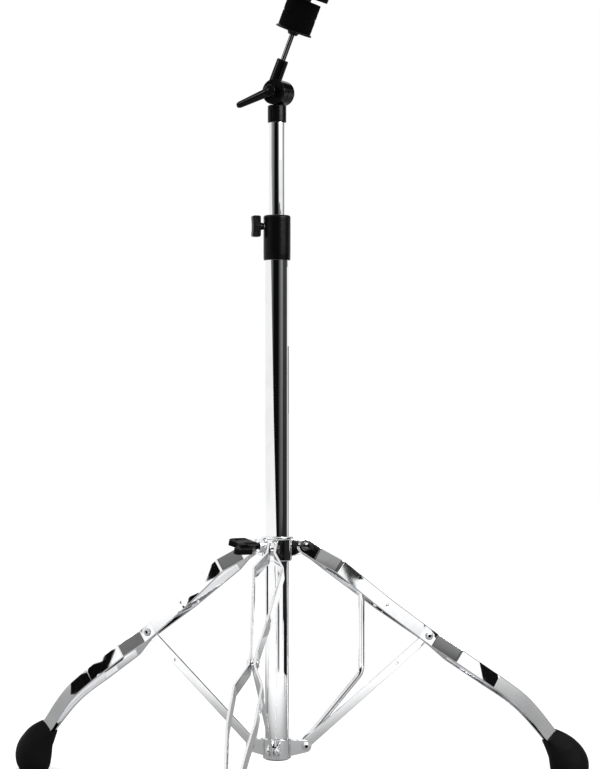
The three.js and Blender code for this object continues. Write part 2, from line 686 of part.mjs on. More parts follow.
function tilterArm() {
  const t = tilter;
  const disc = ratchetDisc(-t.nearDisc, 0);
  const section = (z, share, shrink) => rounded(
    vec(t.stemX, t.stemY, z), vec(1, 0, 0), sideways,
    mix(t.stemHalfX, t.stemTopX, share) - shrink, mix(t.stemHalfY, t.stemTopY, share) - shrink,
    t.stemPower, facets.foot,
  );
  const stem = loft([
    section(0, 0, 0), section(t.discRadius, 0.35, 0), section(t.stemLength - t.stemRound, 1, 0),
    section(t.stemLength, 1, t.stemRound / 2),
  ]);
  const holeLow = t.stemLength - seat.rodDepth - fit.gap;
  const rodHole = rod(seat.rodRadius + fit.seat, holeLow, t.stemLength + fit.cut, facets.hole);
  rodHole.translate(t.stemX, t.stemY, 0);
  const boltHole = alongY(rod(t.boltRadius + fit.gap, -t.nearDisc - fit.cut, fit.cut, facets.hole));
  return cut(join(disc, stem), rodHole, boltHole);
}

function tilterBolt() {
  const t = tilter;
  const seatAt = fit.gap + t.farDisc + fit.seat;
  const tip = -t.nearDisc - lever.bore;
  return alongY(turned([
    [0, tip], [t.boltRadius, tip], [t.boltRadius, seatAt], [t.boltHead, seatAt],
    [t.boltHead, seatAt + t.boltDome / 3], [t.boltHead * 0.7, seatAt + t.boltDome * 0.85],
    [0, seatAt + t.boltDome],
  ], facets.hole));
}

function wingLever() {
  const near = -tilter.nearDisc - fit.turn;
  const far = near - lever.hubLength;
  const body = alongY(turned([
    [0, far], [lever.hubRadius - tilter.chamfer, far], [lever.hubRadius, far + tilter.chamfer],
    [lever.hubRadius, near], [0, near],
  ], facets.hole));
  const heading = vec(-Math.cos(lever.droop * degree), 0, -Math.sin(lever.droop * degree));
  const across = vec(heading.z, 0, -heading.x);
  const centre = vec(0, near - lever.armY, 0);
  const rows = [[0, 0, 1], [0.9, 0.9, 1], [0.955, 1, 0.86], [0.985, 1, 0.6], [1, 1, 0.28]];
  const arm = loft(rows.map(([placeShare, taperShare, sizeShare]) => rounded(
    centre.clone().addScaledVector(heading, placeShare * (lever.length + lever.tipHalf)), across, sideways,
    mix(lever.rootHalf, lever.tipHalf, taperShare) * sizeShare,
    mix(lever.rootThick, lever.tipThick, taperShare) * sizeShare, lever.power, facets.rod,
  )));
  const boreEnd = -tilter.nearDisc - lever.bore - fit.gap;
  const bore = alongY(rod(tilter.boltRadius + fit.gap, boreEnd, fit.cut, facets.hole));
  return cut(join(body, arm), bore);
}

function cupWasher() {
  const s = seat;
  const bore = s.rodRadius + fit.seat;
  const top = s.cupHeight + s.cupThickness;
  return turned([
    [bore, s.cupHeight - s.hubDrop], [s.cupHub, s.cupHeight - s.hubDrop], [s.hubTop, s.cupHeight],
    [s.cupRadius, s.cupHeight - s.cupLip], [s.cupRadius, top - s.cupLip], [s.feltRadius, top], [bore, top],
    [bore, s.cupHeight - s.hubDrop],
  ], facets.felt);
}

// A felt washer with softly rounded rims
function feltWasher(inner, outer, bottom, top) {
  const r = seat.feltRound;
  return turned([
    [inner, bottom], [outer - r, bottom], [outer, bottom + r], [outer, top - r], [outer - r, top],
    [inner, top], [inner, bottom],
  ], facets.felt);
}

function seatSleeve() {
  const s = seat;
  const inner = s.rodRadius + fit.gap;
  return ring(inner, s.sleeveRadius, s.cupHeight + s.cupThickness + fit.seat, s.sleeveTop, facets.ring);
}

function wingNut() {
  const s = seat;
  const top = s.nutBottom + s.nutHeight;
  const body = turned([
    [0, s.nutBottom], [s.nutRadius, s.nutBottom], [s.nutNeck, top], [0, top],
  ], facets.hole);
  const low = s.nutBottom + s.wingRoot;
  const wing = (side) => {
    const shape = new THREE.Shape();
    shape.moveTo(0, low);
    shape.quadraticCurveTo(side * s.wingSpan * 0.7, low, side * s.wingSpan, top);
    shape.quadraticCurveTo(
      side * s.wingSpan, top + s.wingRise, side * s.wingSpan * 0.62, top + s.wingRise * 0.7,
    );
    shape.quadraticCurveTo(side * s.nutRadius, top, 0, top - s.wingRoot / 2);
    shape.closePath();
    return plate(shape, s.wingThickness, 0);
  };
  const bore = rod(s.rodRadius + fit.gap, s.nutBottom - fit.cut, top + s.wingRise + fit.cut, facets.hole);
  const nut = cut(join(body, wing(1), wing(-1)), bore);
  return nut.rotateZ(s.wingTurn * degree);
}

// Assembly
const stand = new THREE.Group();

function add(parent, name, geometry, material) {
  const mesh = new THREE.Mesh(geometry, material);
  mesh.name = name;
  parent.add(mesh);
  return mesh;
}

function addLeg(name, index) {
  const frame = new THREE.Group();
  frame.rotation.z = legTurn(index);
  stand.add(frame);
  const hasStay = index === 0;
  const hubSeat = hubSpread + leg.strip / 2 + fit.seat;
  const hubRivet = crossRivet(hubSeat).translate(hub.pivotRadius, 0, hub.pivotHeight);
  const braceRivet = collarRivet(hasStay).translate(collar.pivotRadius, 0, collar.pivotHeight);
  add(frame, `${name}_hub_pivot_rivet`, hubRivet, finish.steel);
  for (const [side, sideName] of [[1, 'left'], [-1, 'right']]) {
    const jointRivet = halfRivet(side).translate(legJoint.x, 0, legJoint.z);
    add(frame, `${name}_leg_strip_${sideName}`, legStrip(side), finish.chrome);
    add(frame, `${name}_leg_joint_rivet_${sideName}`, jointRivet, finish.steel);
  }
  add(frame, `${name}_rubber_foot`, rubberFoot(), finish.rubber);
  add(frame, `${name}_brace`, braceBar(), finish.chrome);
  add(frame, `${name}_collar_rivet`, braceRivet, finish.steel);
  if (hasStay) add(frame, `${name}_stay_bar`, stayBar(), finish.chrome);
}

function addWing(name, size, wing, tip, height, turn) {
  const frame = new THREE.Group();
  frame.rotation.z = turn * degree;
  frame.position.z = height;
  stand.add(frame);
  const bolt = new THREE.Group();
  bolt.rotation.x = size.roll * degree;
  frame.add(bolt);
  add(bolt, `${name}_screw`, screwShank(tip, size.start, size.bite), finish.steel);
  add(bolt, `${name}_knob`, wing, finish.black);
}

add(stand, 'base_tube', baseTubeSolid(), finish.chrome);
add(stand, 'base_tube_end_plug', endPlugSolid(), finish.black);
add(stand, 'bottom_collar', bottomCollar(), finish.chrome);
add(stand, 'height_collar', heightCollarSolid(), finish.black);
add(stand, 'height_collar_bush', bushSolid(), finish.nylon);
add(stand, 'leg_hub', hubBracket(), finish.chrome);
legNames.forEach(addLeg);

const hubNeckStart = hub.bossLength + fit.turn;
const hubWingKnob = wingSolid(hubWingShape(), hubWing, hubWing.neck, hubNeckStart, hubWing.start);
addWing('leg_hub_wing', hubWing, hubWingKnob, baseTube.radius + fit.gap, bossHeight, hub.bossTurn);

const collarNeckStart = heightCollar.belly + fit.turn;
const collarKnob = wingSolid(
  collarWingShape(), collarWing, wingScrew.neck, collarNeckStart, collarWing.start,
);
addWing(
  'height_wing', collarWing, collarKnob, upperTube.radius + fit.gap, screwHeight, heightCollar.screwTurn,
);

add(stand, 'upper_tube', ring(
  upperTube.radius - upperTube.wall, upperTube.radius, upperTubeBottom, upperTubeTop, facets.tube,
), finish.chrome);

const head = new THREE.Group();
head.position.z = hingeHeight;
head.rotation.z = tilter.turn * degree;
stand.add(head);
add(head, 'tilter_body', tilterBody(), finish.black);
add(head, 'tilter_bolt', tilterBolt(), finish.steel);
add(head, 'tilter_wing_lever', wingLever(), finish.black);

const arm = new THREE.Group();
arm.rotation.y = tilter.lean * degree;
head.add(arm);
add(arm, 'tilter_arm', tilterArm(), finish.black);

const seatLine = new THREE.Group();
seatLine.position.set(tilter.stemX, tilter.stemY, 0);
arm.add(seatLine);
const rodLow = tilter.stemLength - seat.rodDepth;
add(seatLine, 'cymbal_rod', rod(seat.rodRadius, rodLow, seat.rodTop, facets.hole), finish.steel);
add(seatLine, 'cup_washer', cupWasher(), finish.black);
add(seatLine, 'cymbal_sleeve', seatSleeve(), finish.nylon);
const feltBore = seat.sleeveRadius + fit.gap;
const feltRise = (seat.feltTop - seat.feltBottom) / seat.feltCount;
for (let i = 0; i < seat.feltCount; i += 1) {
  const low = seat.feltBottom + i * feltRise;
  const top = low + feltRise - fit.gap;
  add(seatLine, `lower_felt_${i + 1}`, feltWasher(feltBore, seat.feltRadius, low, top), finish.felt);
}
const topFelt = feltWasher(feltBore, seat.topFeltRadius, seat.topFeltBottom, seat.topFeltTop);
add(seatLine, 'top_felt', topFelt, finish.felt);
add(seatLine, 'cymbal_wing_nut', wingNut(), finish.steel);

// Rests the stand on z = 0 with the middle of its bounding box over the origin
const bounds = new THREE.Box3().setFromObject(stand);
const middle = bounds.getCenter(vec(0, 0, 0));
stand.position.set(-middle.x, -middle.y, -bounds.min.z);
stand.updateMatrixWorld(true);

export default stand;
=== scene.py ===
"""Straight chrome cymbal stand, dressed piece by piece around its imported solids.

Every form is modelled in millimetres about the stand's own axis, with the floor at zero, and the
bench sets it into the row frame in metres. Each sub-assembly is a class that holds its sizes.
"""

import json
import logging
import math
from dataclasses import dataclass, field
from enum import Enum
from typing import Any, Sequence

import bmesh
import bpy
from mathutils import Matrix, Vector, noise

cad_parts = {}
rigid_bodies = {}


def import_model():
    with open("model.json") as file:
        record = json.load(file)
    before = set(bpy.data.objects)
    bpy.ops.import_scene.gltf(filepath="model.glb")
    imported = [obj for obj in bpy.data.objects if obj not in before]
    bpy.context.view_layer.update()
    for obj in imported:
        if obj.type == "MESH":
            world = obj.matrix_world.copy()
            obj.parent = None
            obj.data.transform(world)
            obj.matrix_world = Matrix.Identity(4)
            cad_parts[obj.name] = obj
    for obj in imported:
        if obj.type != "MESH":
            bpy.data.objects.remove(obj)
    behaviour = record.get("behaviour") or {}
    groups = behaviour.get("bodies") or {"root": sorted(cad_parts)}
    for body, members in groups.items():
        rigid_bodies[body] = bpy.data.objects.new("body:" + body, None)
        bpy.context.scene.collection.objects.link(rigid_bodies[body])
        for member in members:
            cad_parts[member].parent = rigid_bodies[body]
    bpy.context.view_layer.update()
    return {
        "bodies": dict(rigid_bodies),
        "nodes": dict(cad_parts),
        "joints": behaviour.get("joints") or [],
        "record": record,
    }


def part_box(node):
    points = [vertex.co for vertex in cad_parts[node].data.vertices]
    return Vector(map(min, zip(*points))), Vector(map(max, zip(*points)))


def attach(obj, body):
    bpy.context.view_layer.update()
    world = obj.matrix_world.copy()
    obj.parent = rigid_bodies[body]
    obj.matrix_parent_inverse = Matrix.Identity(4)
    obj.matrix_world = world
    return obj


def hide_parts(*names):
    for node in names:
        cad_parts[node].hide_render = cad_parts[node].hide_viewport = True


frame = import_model()

LOG = logging.getLogger("cymbal_stand")
MM = 0.001
Pair = tuple[float, float]
Corner = tuple[float, float, float]
Colour = tuple[float, float, float]
Socket = bpy.types.NodeSocket
SIDEWAYS = Vector((0, 1, 0))
# Points of a form that lie closer than this, in millimetres, become one
WELD = 0.0005
# A corner whose half angle is above this, in degrees, counts as straight
STRAIGHT = 89.6
# The most that a rounded corner takes of a side, and a section's corner of a half width
SIDE_SHARE, WIDTH_SHARE = 0.48, 0.98
# Facets round a small hole in a plate
HOLE_FACETS = 24


class Lie(Enum):
    """Ways a turned form can lie: its height runs along this direction."""

    UP = (0.0, "X")
    ALONG_X = (math.pi / 2, "Y")
    ALONG_Y = (-math.pi / 2, "X")

    @property
    def matrix(self) -> Matrix:
        """The rotation that lays the form."""
        return Matrix.Rotation(self.value[0], 4, self.value[1])


class Bond(Enum):
    """How one closed form works on another."""

    JOIN = "UNION"
    CUT = "DIFFERENCE"


# Geometry helpers


def mix(low: float, high: float, share: float) -> float:
    """The value a share of the way from low to high."""
    return low + (high - low) * share


def turn_z(degrees: float) -> Matrix:
    """A turn about the upright axis."""
    return Matrix.Rotation(math.radians(degrees), 4, "Z")


def shift(x: float, y: float, z: float) -> Matrix:
    """A move without a turn."""
    return Matrix.Translation((x, y, z))


def mesh_of(shape: bmesh.types.BMesh, name: str) -> bpy.types.Mesh:
    """Turns a shape into a mesh.

    Args:
        shape: The shape, used up by the call.
        name: The mesh's name.

    Returns:
        The mesh.
    """
    mesh = bpy.data.meshes.new(name)
    shape.to_mesh(mesh)
    shape.free()
    return mesh


def set_out(name: str, data: Any) -> bpy.types.Object:
    """Puts an object with that data into the scene.

    Args:
        name: Its name.
        data: Its mesh, camera or lamp.

    Returns:
        The object.
    """
    made = bpy.data.objects.new(name, data)
    bpy.context.scene.collection.objects.link(made)
    return made


def arc(centre: Pair, radius: float, start: float, end: float, steps: int) -> list[Pair]:
    """Points along a circular arc.

    Args:
        centre: Middle of the arc.
        radius: Its radius.
        start: First angle in degrees.
        end: Last angle in degrees.
        steps: Number of spans.

    Returns:
        The points, both ends included.
    """
    angles = [math.radians(mix(start, end, i / steps)) for i in range(steps + 1)]
    return [(centre[0] + radius * math.cos(a), centre[1] + radius * math.sin(a)) for a in angles]


def bow(start: Pair, pull: Pair, end: Pair, steps: int = 8) -> list[Pair]:
    """Points along a quadratic curve, its first point left out.

    Args:
        start: Where the curve begins.
        pull: The point that it bends towards.
        end: Where it ends.
        steps: Number of spans.

    Returns:
        The points after the start.
    """
    points = []
    for i in range(1, steps + 1):
        t = i / steps
        a, b, c = (1 - t) ** 2, 2 * t * (1 - t), t**2
        points.append((a * start[0] + b * pull[0] + c * end[0], a * start[1] + b * pull[1] + c * end[1]))
    return points


def softened(points: Sequence[Vector], radii: Sequence[float], steps: int, closed: bool) -> list[Vector]:
    """Rounds the corners of a line of points with arcs.

    Args:
        points: The corners of the line.
        radii: The radius at each corner, zero for a sharp one.
        steps: Spans in each arc.
        closed: Whether the line closes on itself.

    Returns:
        The corners' arcs in order.
    """
    count = len(points)
    line: list[Vector] = []
    for i, (point, radius) in enumerate(zip(points, radii)):
        if radius <= 0 or (not closed and i in (0, count - 1)):
            line.append(point.copy())
            continue
        before, after = points[i - 1] - point, points[(i + 1) % count] - point
        half = before.angle(after) / 2
        if half > math.radians(STRAIGHT):
            line.append(point.copy())
            continue
        trim = min(radius / math.tan(half), SIDE_SHARE * before.length, SIDE_SHARE * after.length)
        before.normalize()
        after.normalize()
        hub = (before + after).normalized() * (trim / math.cos(half))
        first, last = before * trim - hub, after * trim - hub
        reach = first.length
        for k in range(steps + 1):
            line.append(point + hub + first.slerp(last, k / steps).normalized() * reach)
    return line


@dataclass(frozen=True)
class Ring:
    """One section of a swept bar: a centre, two directions and two half sizes.

    power 2 is round and higher powers are squarer; edge, where given, is a plain corner radius.
    """

    centre: Vector
    along: Vector
    across: Vector
    half_along: float
    half_across: float
    power: float = 2.0
    edge: float | None = None

    def points(self, count: int) -> list[Vector]:
        """The section's outline.

        Args:
            count: Number of points, a multiple of four where the corners have a plain radius.

        Returns:
            The points in order.
        """
        places = []
        for i in range(count):
            if self.edge is None:
                angle = i / count * 2 * math.pi
                c, s = math.cos(angle), math.sin(angle)
                a = math.copysign(abs(c) ** (2 / self.power), c) * self.half_along
                b = math.copysign(abs(s) ** (2 / self.power), s) * self.half_across
            else:
                per = count // 4
                edge = min(self.edge, self.half_along * WIDTH_SHARE, self.half_across * WIDTH_SHARE)
                angle = math.radians(90 * (i // per) + 90 * (i % per) / (per - 1))
                signs = ((1, 1), (-1, 1), (-1, -1), (1, -1))[i // per]
                a = signs[0] * (self.half_along - edge) + edge * math.cos(angle)
                b = signs[1] * (self.half_across - edge) + edge * math.sin(angle)
            places.append(self.centre + self.along * a + self.across * b)
        return places


class Form:
    """A closed shape in millimetres that operators make, join and cut."""

    def __init__(self, shape: bmesh.types.BMesh) -> None:
        """Keeps the mesh being shaped."""
        self.shape = shape

    @classmethod
    def turned(
        cls, profile: Sequence[Corner], lie: Lie = Lie.UP, steps: int = 72, arc_steps: int = 4
    ) -> "Form":
        """Spins a profile about the upright axis.

        Args:
            profile: Radius, height and corner radius of each point; it ends on the axis or closes.
            lie: The direction that the height then runs along.
            steps: Facets round the axis.
            arc_steps: Spans in each rounded corner.

        Returns:
            The turned form.
        """
        closed = profile[0][0] > 0
        corners = [Vector((radius, 0.0, height)) for radius, height, _ in profile]
        line = softened(corners, [edge for *_, edge in profile], arc_steps, closed)
        shape = bmesh.new()
        verts = [shape.verts.new(point) for point in line]
        for pair in zip(verts, verts[1:] + verts[:1] if closed else verts[1:]):
            shape.edges.new(pair)
        bmesh.ops.spin(
            shape, geom=shape.verts[:] + shape.edges[:], cent=(0, 0, 0), axis=(0, 0, 1),
            angle=2 * math.pi, steps=steps, use_merge=True,
        )
        bmesh.ops.remove_doubles(shape, verts=shape.verts[:], dist=WELD)
        bmesh.ops.recalc_face_normals(shape, faces=shape.faces[:])
        shape.transform(lie.matrix)
        return cls(shape)

    @classmethod
    def rod(cls, radius: float, low: float, high: float, lie: Lie = Lie.UP, edge: float = 0.0) -> "Form":
        """A plain round bar from low to high, with rims of the given radius."""
        profile = ((0.0, low, 0.0), (radius, low, edge), (radius, high, edge), (0.0, high, 0.0))
        return cls.turned(profile, lie, 48)

    @classmethod
    def tube(
        cls, inner: float, outer: float, low: float, high: float, rims: Sequence[float], steps: int = 72
    ) -> "Form":
        """A plain round tube.

        Args:
            inner: Its inner radius.
            outer: Its outer radius.
            low: Its lower end.
            high: Its upper end.
            rims: Its four corner radii, from the lower inner one outwards and up.
            steps: Facets round the axis.

        Returns:
            The tube.
        """
        radii, heights = (inner, outer, outer, inner), (low, low, high, high)
        return cls.turned(list(zip(radii, heights, rims)), steps=steps)

    @classmethod
    def plate(
        cls, outline: Sequence[Pair], thickness: float, rim: float, holes: Sequence[Corner] = ()
    ) -> "Form":
        """Extrudes an outline in XZ to a plate centred on y, with rolled rims.

        Args:
            outline: The outline's points in order.
            thickness: The plate's thickness.
            rim: Radius of its rims.
            holes: Place and radius of each hole.

        Returns:
            The plate.
        """
        shape = bmesh.new()
        verts = [shape.verts.new((x, -thickness / 2, z)) for x, z in outline]
        for pair in zip(verts, verts[1:] + verts[:1]):
            shape.edges.new(pair)
        upright = Matrix.Rotation(math.pi / 2, 4, "X")
        for x, z, radius in holes:
            place = shift(x, -thickness / 2, z) @ upright
            bmesh.ops.create_circle(
                shape, cap_ends=False, segments=HOLE_FACETS, radius=radius, matrix=place
            )
        bmesh.ops.triangle_fill(
            shape, use_beauty=True, use_dissolve=False, edges=shape.edges[:], normal=(0, -1, 0)
        )
        made = bmesh.ops.extrude_face_region(shape, geom=shape.faces[:])
        moved = [item for item in made["geom"] if isinstance(item, bmesh.types.BMVert)]
        bmesh.ops.translate(shape, verts=moved, vec=(0, thickness, 0))
        bmesh.ops.recalc_face_normals(shape, faces=shape.faces[:])
        return cls(shape).rolled(rim)

    @classmethod
    def skinned(cls, loops: Sequence[Sequence[Vector]]) -> "Form":
        """Extrudes a ring of edges from section to section and closes both ends.

        Args:
            loops: The sections' points, the same number in each.

        Returns:
            The skinned form.
        """
        shape = bmesh.new()
        ring = bmesh.ops.create_circle(shape, cap_ends=False, segments=len(loops[0]), radius=1.0)["verts"]
        for vert, place in zip(ring, loops[0]):
            vert.co = place
        shape.faces.new(ring)
        for loop in loops[1:]:
            edges = [shape.edges.get(pair) for pair in zip(ring, ring[1:] + ring[:1])]
            made = bmesh.ops.extrude_edge_only(shape, edges=edges)
            fresh = {item for item in made["geom"] if isinstance(item, bmesh.types.BMVert)}
            ring = [
                next(e.other_vert(v) for e in v.link_edges if e.other_vert(v) in fresh) for v in ring
            ]
            for vert, place in zip(ring, loop):
                vert.co = place
        shape.faces.new(ring)
        bmesh.ops.recalc_face_normals(shape, faces=shape.faces[:])
        return cls(shape)

    @classmethod
    def swept(cls, rings: Sequence[Ring], count: int = 16) -> "Form":
        """Skins a row of sections with that many points each."""
        return cls.skinned([ring.points(count) for ring in rings])

    @classmethod
    def block(cls, size: Corner, centre: Corner, rim: float = 0.0) -> "Form":
        """A box, with rolled edges where a rim is given.

        Args:
            size: Its size along x, y and z.
            centre: Its middle.
            rim: Radius of its edges.

        Returns:
            The box.
        """
        shape = bmesh.new()
        place = shift(*centre) @ Matrix.Diagonal((*size, 1.0))
        bmesh.ops.create_cube(shape, size=1.0, matrix=place)
        return cls(shape).rolled(rim) if rim else cls(shape)

    def rolled(self, width: float, angle: float = 40.0, segments: int = 3) -> "Form":
        """Bevels the edges that turn by more than an angle.

        Args:
            width: How far the bevel reaches from the edge.
            angle: The least turn, in degrees.
            segments: Spans in the bevel.

        Returns:
            The same form.
        """
        limit = math.radians(angle)
        edges = [
            e for e in self.shape.edges if len(e.link_faces) == 2 and e.calc_face_angle(0.0) > limit
        ]
        bmesh.ops.bevel(
            self.shape, geom=edges, offset=width, offset_type="OFFSET", segments=segments, profile=0.5,
            affect="EDGES", clamp_overlap=True, material=-1,
        )
        return self

    def moved(self, place: Matrix) -> "Form":
        """Moves the form and returns it."""
        self.shape.transform(place)
        return self

    def joined(self, *others: "Form") -> "Form":
        """This form grown together with others."""
        return self._worked(others, Bond.JOIN)

    def carved(self, *others: "Form") -> "Form":
        """This form with others cut out of it."""
        return self._worked(others, Bond.CUT)

    def _holder(self) -> bpy.types.Object:
        """A passing object that shows the form to a modifier."""
        return set_out("working", mesh_of(self.shape, "working"))

    def _worked(self, others: Sequence["Form"], bond: Bond) -> "Form":
        """Joins or cuts with exact booleans.

        Args:
            others: The forms to work with, used up by the call.
            bond: Whether they are joined or cut away.

        Returns:
            A new form.
        """
        holder = self._holder()
        tools = [other._holder() for other in others]
        for tool in tools:
            step = holder.modifiers.new("step", "BOOLEAN")
            step.operation, step.solver, step.object = bond.value, "EXACT", tool
        bpy.context.view_layer.update()
        graph = bpy.context.evaluated_depsgraph_get()
        mesh = bpy.data.meshes.new_from_object(holder.evaluated_get(graph))
        shape = bmesh.new()
        shape.from_mesh(mesh)
        bmesh.ops.remove_doubles(shape, verts=shape.verts[:], dist=WELD)
        bpy.data.meshes.remove(mesh)
        for spare in (holder, *tools):
            data = spare.data
            bpy.data.objects.remove(spare)
            bpy.data.meshes.remove(data)
        return Form(shape)


# Shader groups and finishes

# Turn and stretch of each set of hairlines, and of each tangle of fibres
HAIRLINE_LAYS = ((0.35, (1.0, 0.05, 1.0)), (1.2, (0.06, 1.0, 0.9)), (2.1, (1.0, 0.8, 0.05)))
FIBRE_LAYS = ((0.4, (1.0, 0.16, 0.5)), (1.3, (0.2, 1.0, 0.4)), (2.2, (0.6, 0.5, 0.15)))


class Wiring:
    """Adds and links the nodes of one material or group."""

    def __init__(self, tree: bpy.types.NodeTree) -> None:
        """Keeps the tree being wired."""
        self.tree = tree

    def feed(self, socket: Socket, value: Any) -> None:
        """Links a socket to an input, or gives the input a plain value.

        Args:
            socket: The input.
            value: A socket, a number, a vector or a colour of three numbers.
        """
        if isinstance(value, Socket):
            self.tree.links.new(value, socket)
        elif socket.type == "RGBA":
            socket.default_value = (*value, 1.0)
        else:
            socket.default_value = value

    def into(self, node: bpy.types.Node, inputs: dict[Any, Any]) -> bpy.types.Node:
        """Feeds a node's inputs.

        Args:
            node: The node.
            inputs: Values or sockets, by the input's name or number.

        Returns:
            The same node.
        """
        for name, value in inputs.items():
            self.feed(node.inputs[name], value)
        return node

    def node(self, kind: str, inputs: dict[Any, Any] | None = None, **settings: Any) -> bpy.types.Node:
        """Adds a node.

        Args:
            kind: The node's type name without its prefix.
            inputs: Values or sockets for its inputs.
            settings: Its own properties.

        Returns:
            The node.
        """
        node = self.tree.nodes.new("ShaderNode" + kind)
        for name, value in settings.items():
            setattr(node, name, value)
        return self.into(node, inputs or {})

    def math(self, action: str, first: Any, second: Any = 0.0, clamp: bool = False) -> Socket:
        """Works two values or sockets together, clamped to 0 and 1 if asked."""
        return self.node("Math", {0: first, 1: second}, operation=action, use_clamp=clamp).outputs[0]

    def fold(self, action: str, *values: Any) -> Socket:
        """Works several values or sockets together, one after the other.

        Args:
            action: The name of the sum, as a Math node has it.
            values: The values or sockets.

        Returns:
            The result.
        """
        result = values[0]
        for value in values[1:]:
            result = self.math(action, result, value)
        return result

    def noise(self, where: Any, scale: Any, **more: float) -> Socket:
        """The value of a noise pattern."""
        return self.node("TexNoise", {"Vector": where, "Scale": scale, **more}).outputs[0]

    def laid(self, where: Any, turn: Corner, stretch: Corner) -> Socket:
        """Coordinates that are turned and stretched."""
        return self.node("Mapping", {"Vector": where, "Rotation": turn, "Scale": stretch}).outputs[0]

    def span(self, value: Any, low: float, high: float, to_low: Any, to_high: Any) -> Socket:
        """Maps a value from one range to another, with soft ends."""
        inputs = {"Value": value, "From Min": low, "From Max": high, "To Min": to_low, "To Max": to_high}
        return self.node("MapRange", inputs, interpolation_type="SMOOTHSTEP").outputs[0]

    def blend(self, share: Any, first: Any, second: Any) -> Socket:
        """A colour between two colours or colour sockets."""
        return self.node("Mix", {0: share, 6: first, 7: second}, data_type="RGBA").outputs[2]

    def effect(self, effect: "Effect", where: Socket, scale: float, amount: float) -> Socket:
        """The value of a shared effect, placed here with its own scale and strength."""
        inputs = {"Vector": where, "Scale": scale, "Amount": amount}
        return self.node("Group", inputs, node_tree=effect.group()).outputs["Value"]

    def shown(self) -> Socket:
        """A mask of what the eye, gloss and glass see, apart from the light that falls on things.

        Returns:
            The mask.
        """
        path = self.node("LightPath").outputs
        seen = self.math("ADD", path["Is Camera Ray"], path["Is Glossy Ray"])
        return self.math("ADD", seen, path["Is Transmission Ray"], True)


class Pattern(Wiring):
    """The wiring of one shared effect, with a method for each pattern."""

    def __init__(self, tree: bpy.types.NodeTree) -> None:
        """Gives the group its inputs and its output.

        Args:
            tree: The effect's empty group.
        """
        super().__init__(tree)
        tree.interface.new_socket("Vector", in_out="INPUT", socket_type="NodeSocketVector")
        for name, value in (("Scale", 1.0), ("Amount", 0.5)):
            socket = tree.interface.new_socket(name, in_out="INPUT", socket_type="NodeSocketFloat")
            socket.default_value = value
        tree.interface.new_socket("Value", in_out="OUTPUT", socket_type="NodeSocketFloat")
        source = tree.nodes.new("NodeGroupInput").outputs
        self.where, self.scale, self.amount = source["Vector"], source["Scale"], source["Amount"]

    def hairlines(self) -> Socket:
        """Thin crossing lines that come and go, as polishing and handling leave.

        Returns:
            The pattern.
        """
        line_width, patch_scale = 0.014, 34.0
        lines = []
        for turn, stretch in HAIRLINE_LAYS:
            laid = self.laid(self.where, (turn, 0.7 * turn, 0.4), stretch)
            inputs = {"Vector": laid, "Scale": self.scale, "Randomness": 1.0}
            cells = self.node("TexVoronoi", inputs, feature="DISTANCE_TO_EDGE").outputs["Distance"]
            lines.append(self.span(cells, 0.0, line_width, 1.0, 0.0))
        patches = self.span(self.noise(self.where, patch_scale, Detail=2.0), 0.45, 0.72, 0.0, 1.0)
        return self.math("MULTIPLY", self.fold("MAXIMUM", *lines), patches)

    def smudge(self) -> Socket:
        """Broad soft patches with a finer breakup inside them.

        Returns:
            The pattern.
        """
        finer_scale = self.math("MULTIPLY", self.scale, 9.0)
        broad = self.noise(self.where, self.scale, Detail=3.0, Distortion=0.6)
        finer = self.noise(self.where, finer_scale, Detail=2.0)
        patch = self.span(broad, 0.42, 0.66, 0.0, 1.0)
        return self.math("MULTIPLY", patch, self.math("ADD", finer, 0.25))

    def grain(self) -> Socket:
        """Fine orange-peel grain with small pits.

        Returns:
            The pattern.
        """
        peel = self.noise(self.where, self.scale, Detail=4.0, Roughness=0.6)
        pit_scale = self.math("MULTIPLY", self.scale, 0.7)
        pits = self.node("TexVoronoi", {"Vector": self.where, "Scale": pit_scale}).outputs["Distance"]
        return self.math("ADD", peel, self.span(pits, 0.0, 0.22, -0.6, 0.0))

    def specks(self) -> Socket:
        """Sparse dust motes.

        Returns:
            The pattern.
        """
        rarity_scale = 190.0
        cells = self.node("TexVoronoi", {"Vector": self.where, "Scale": self.scale}).outputs["Distance"]
        dot = self.span(cells, 0.03, 0.1, 1.0, 0.0)
        few = self.span(self.noise(self.where, rarity_scale, Detail=1.0), 0.55, 0.7, 0.0, 1.0)
        return self.math("MULTIPLY", dot, few)

    def worn_edge(self) -> Socket:
        """Outer edges rubbed bright, broken up along their length.

        Returns:
            The pattern.
        """
        unevenness = 0.12
        point = self.node("NewGeometry").outputs["Pointiness"]
        breakup = self.math("SUBTRACT", self.noise(self.where, self.scale, Detail=4.0), 0.5)
        uneven = self.math("ADD", point, self.math("MULTIPLY", breakup, unevenness))
        return self.span(uneven, 0.52, 0.6, 0.0, 1.0)

    def fibres(self) -> Socket:
        """Matted wool, as tangled and stretched noise.

        Returns:
            The pattern.
        """
        tangle = []
        for turn, stretch in FIBRE_LAYS:
            laid = self.laid(self.where, (turn, turn * 0.5, turn), stretch)
            tangle.append(self.noise(laid, self.scale, Detail=5.0, Distortion=1.4))
        return self.span(self.fold("MAXIMUM", *tangle), 0.45, 0.85, 0.0, 1.0)


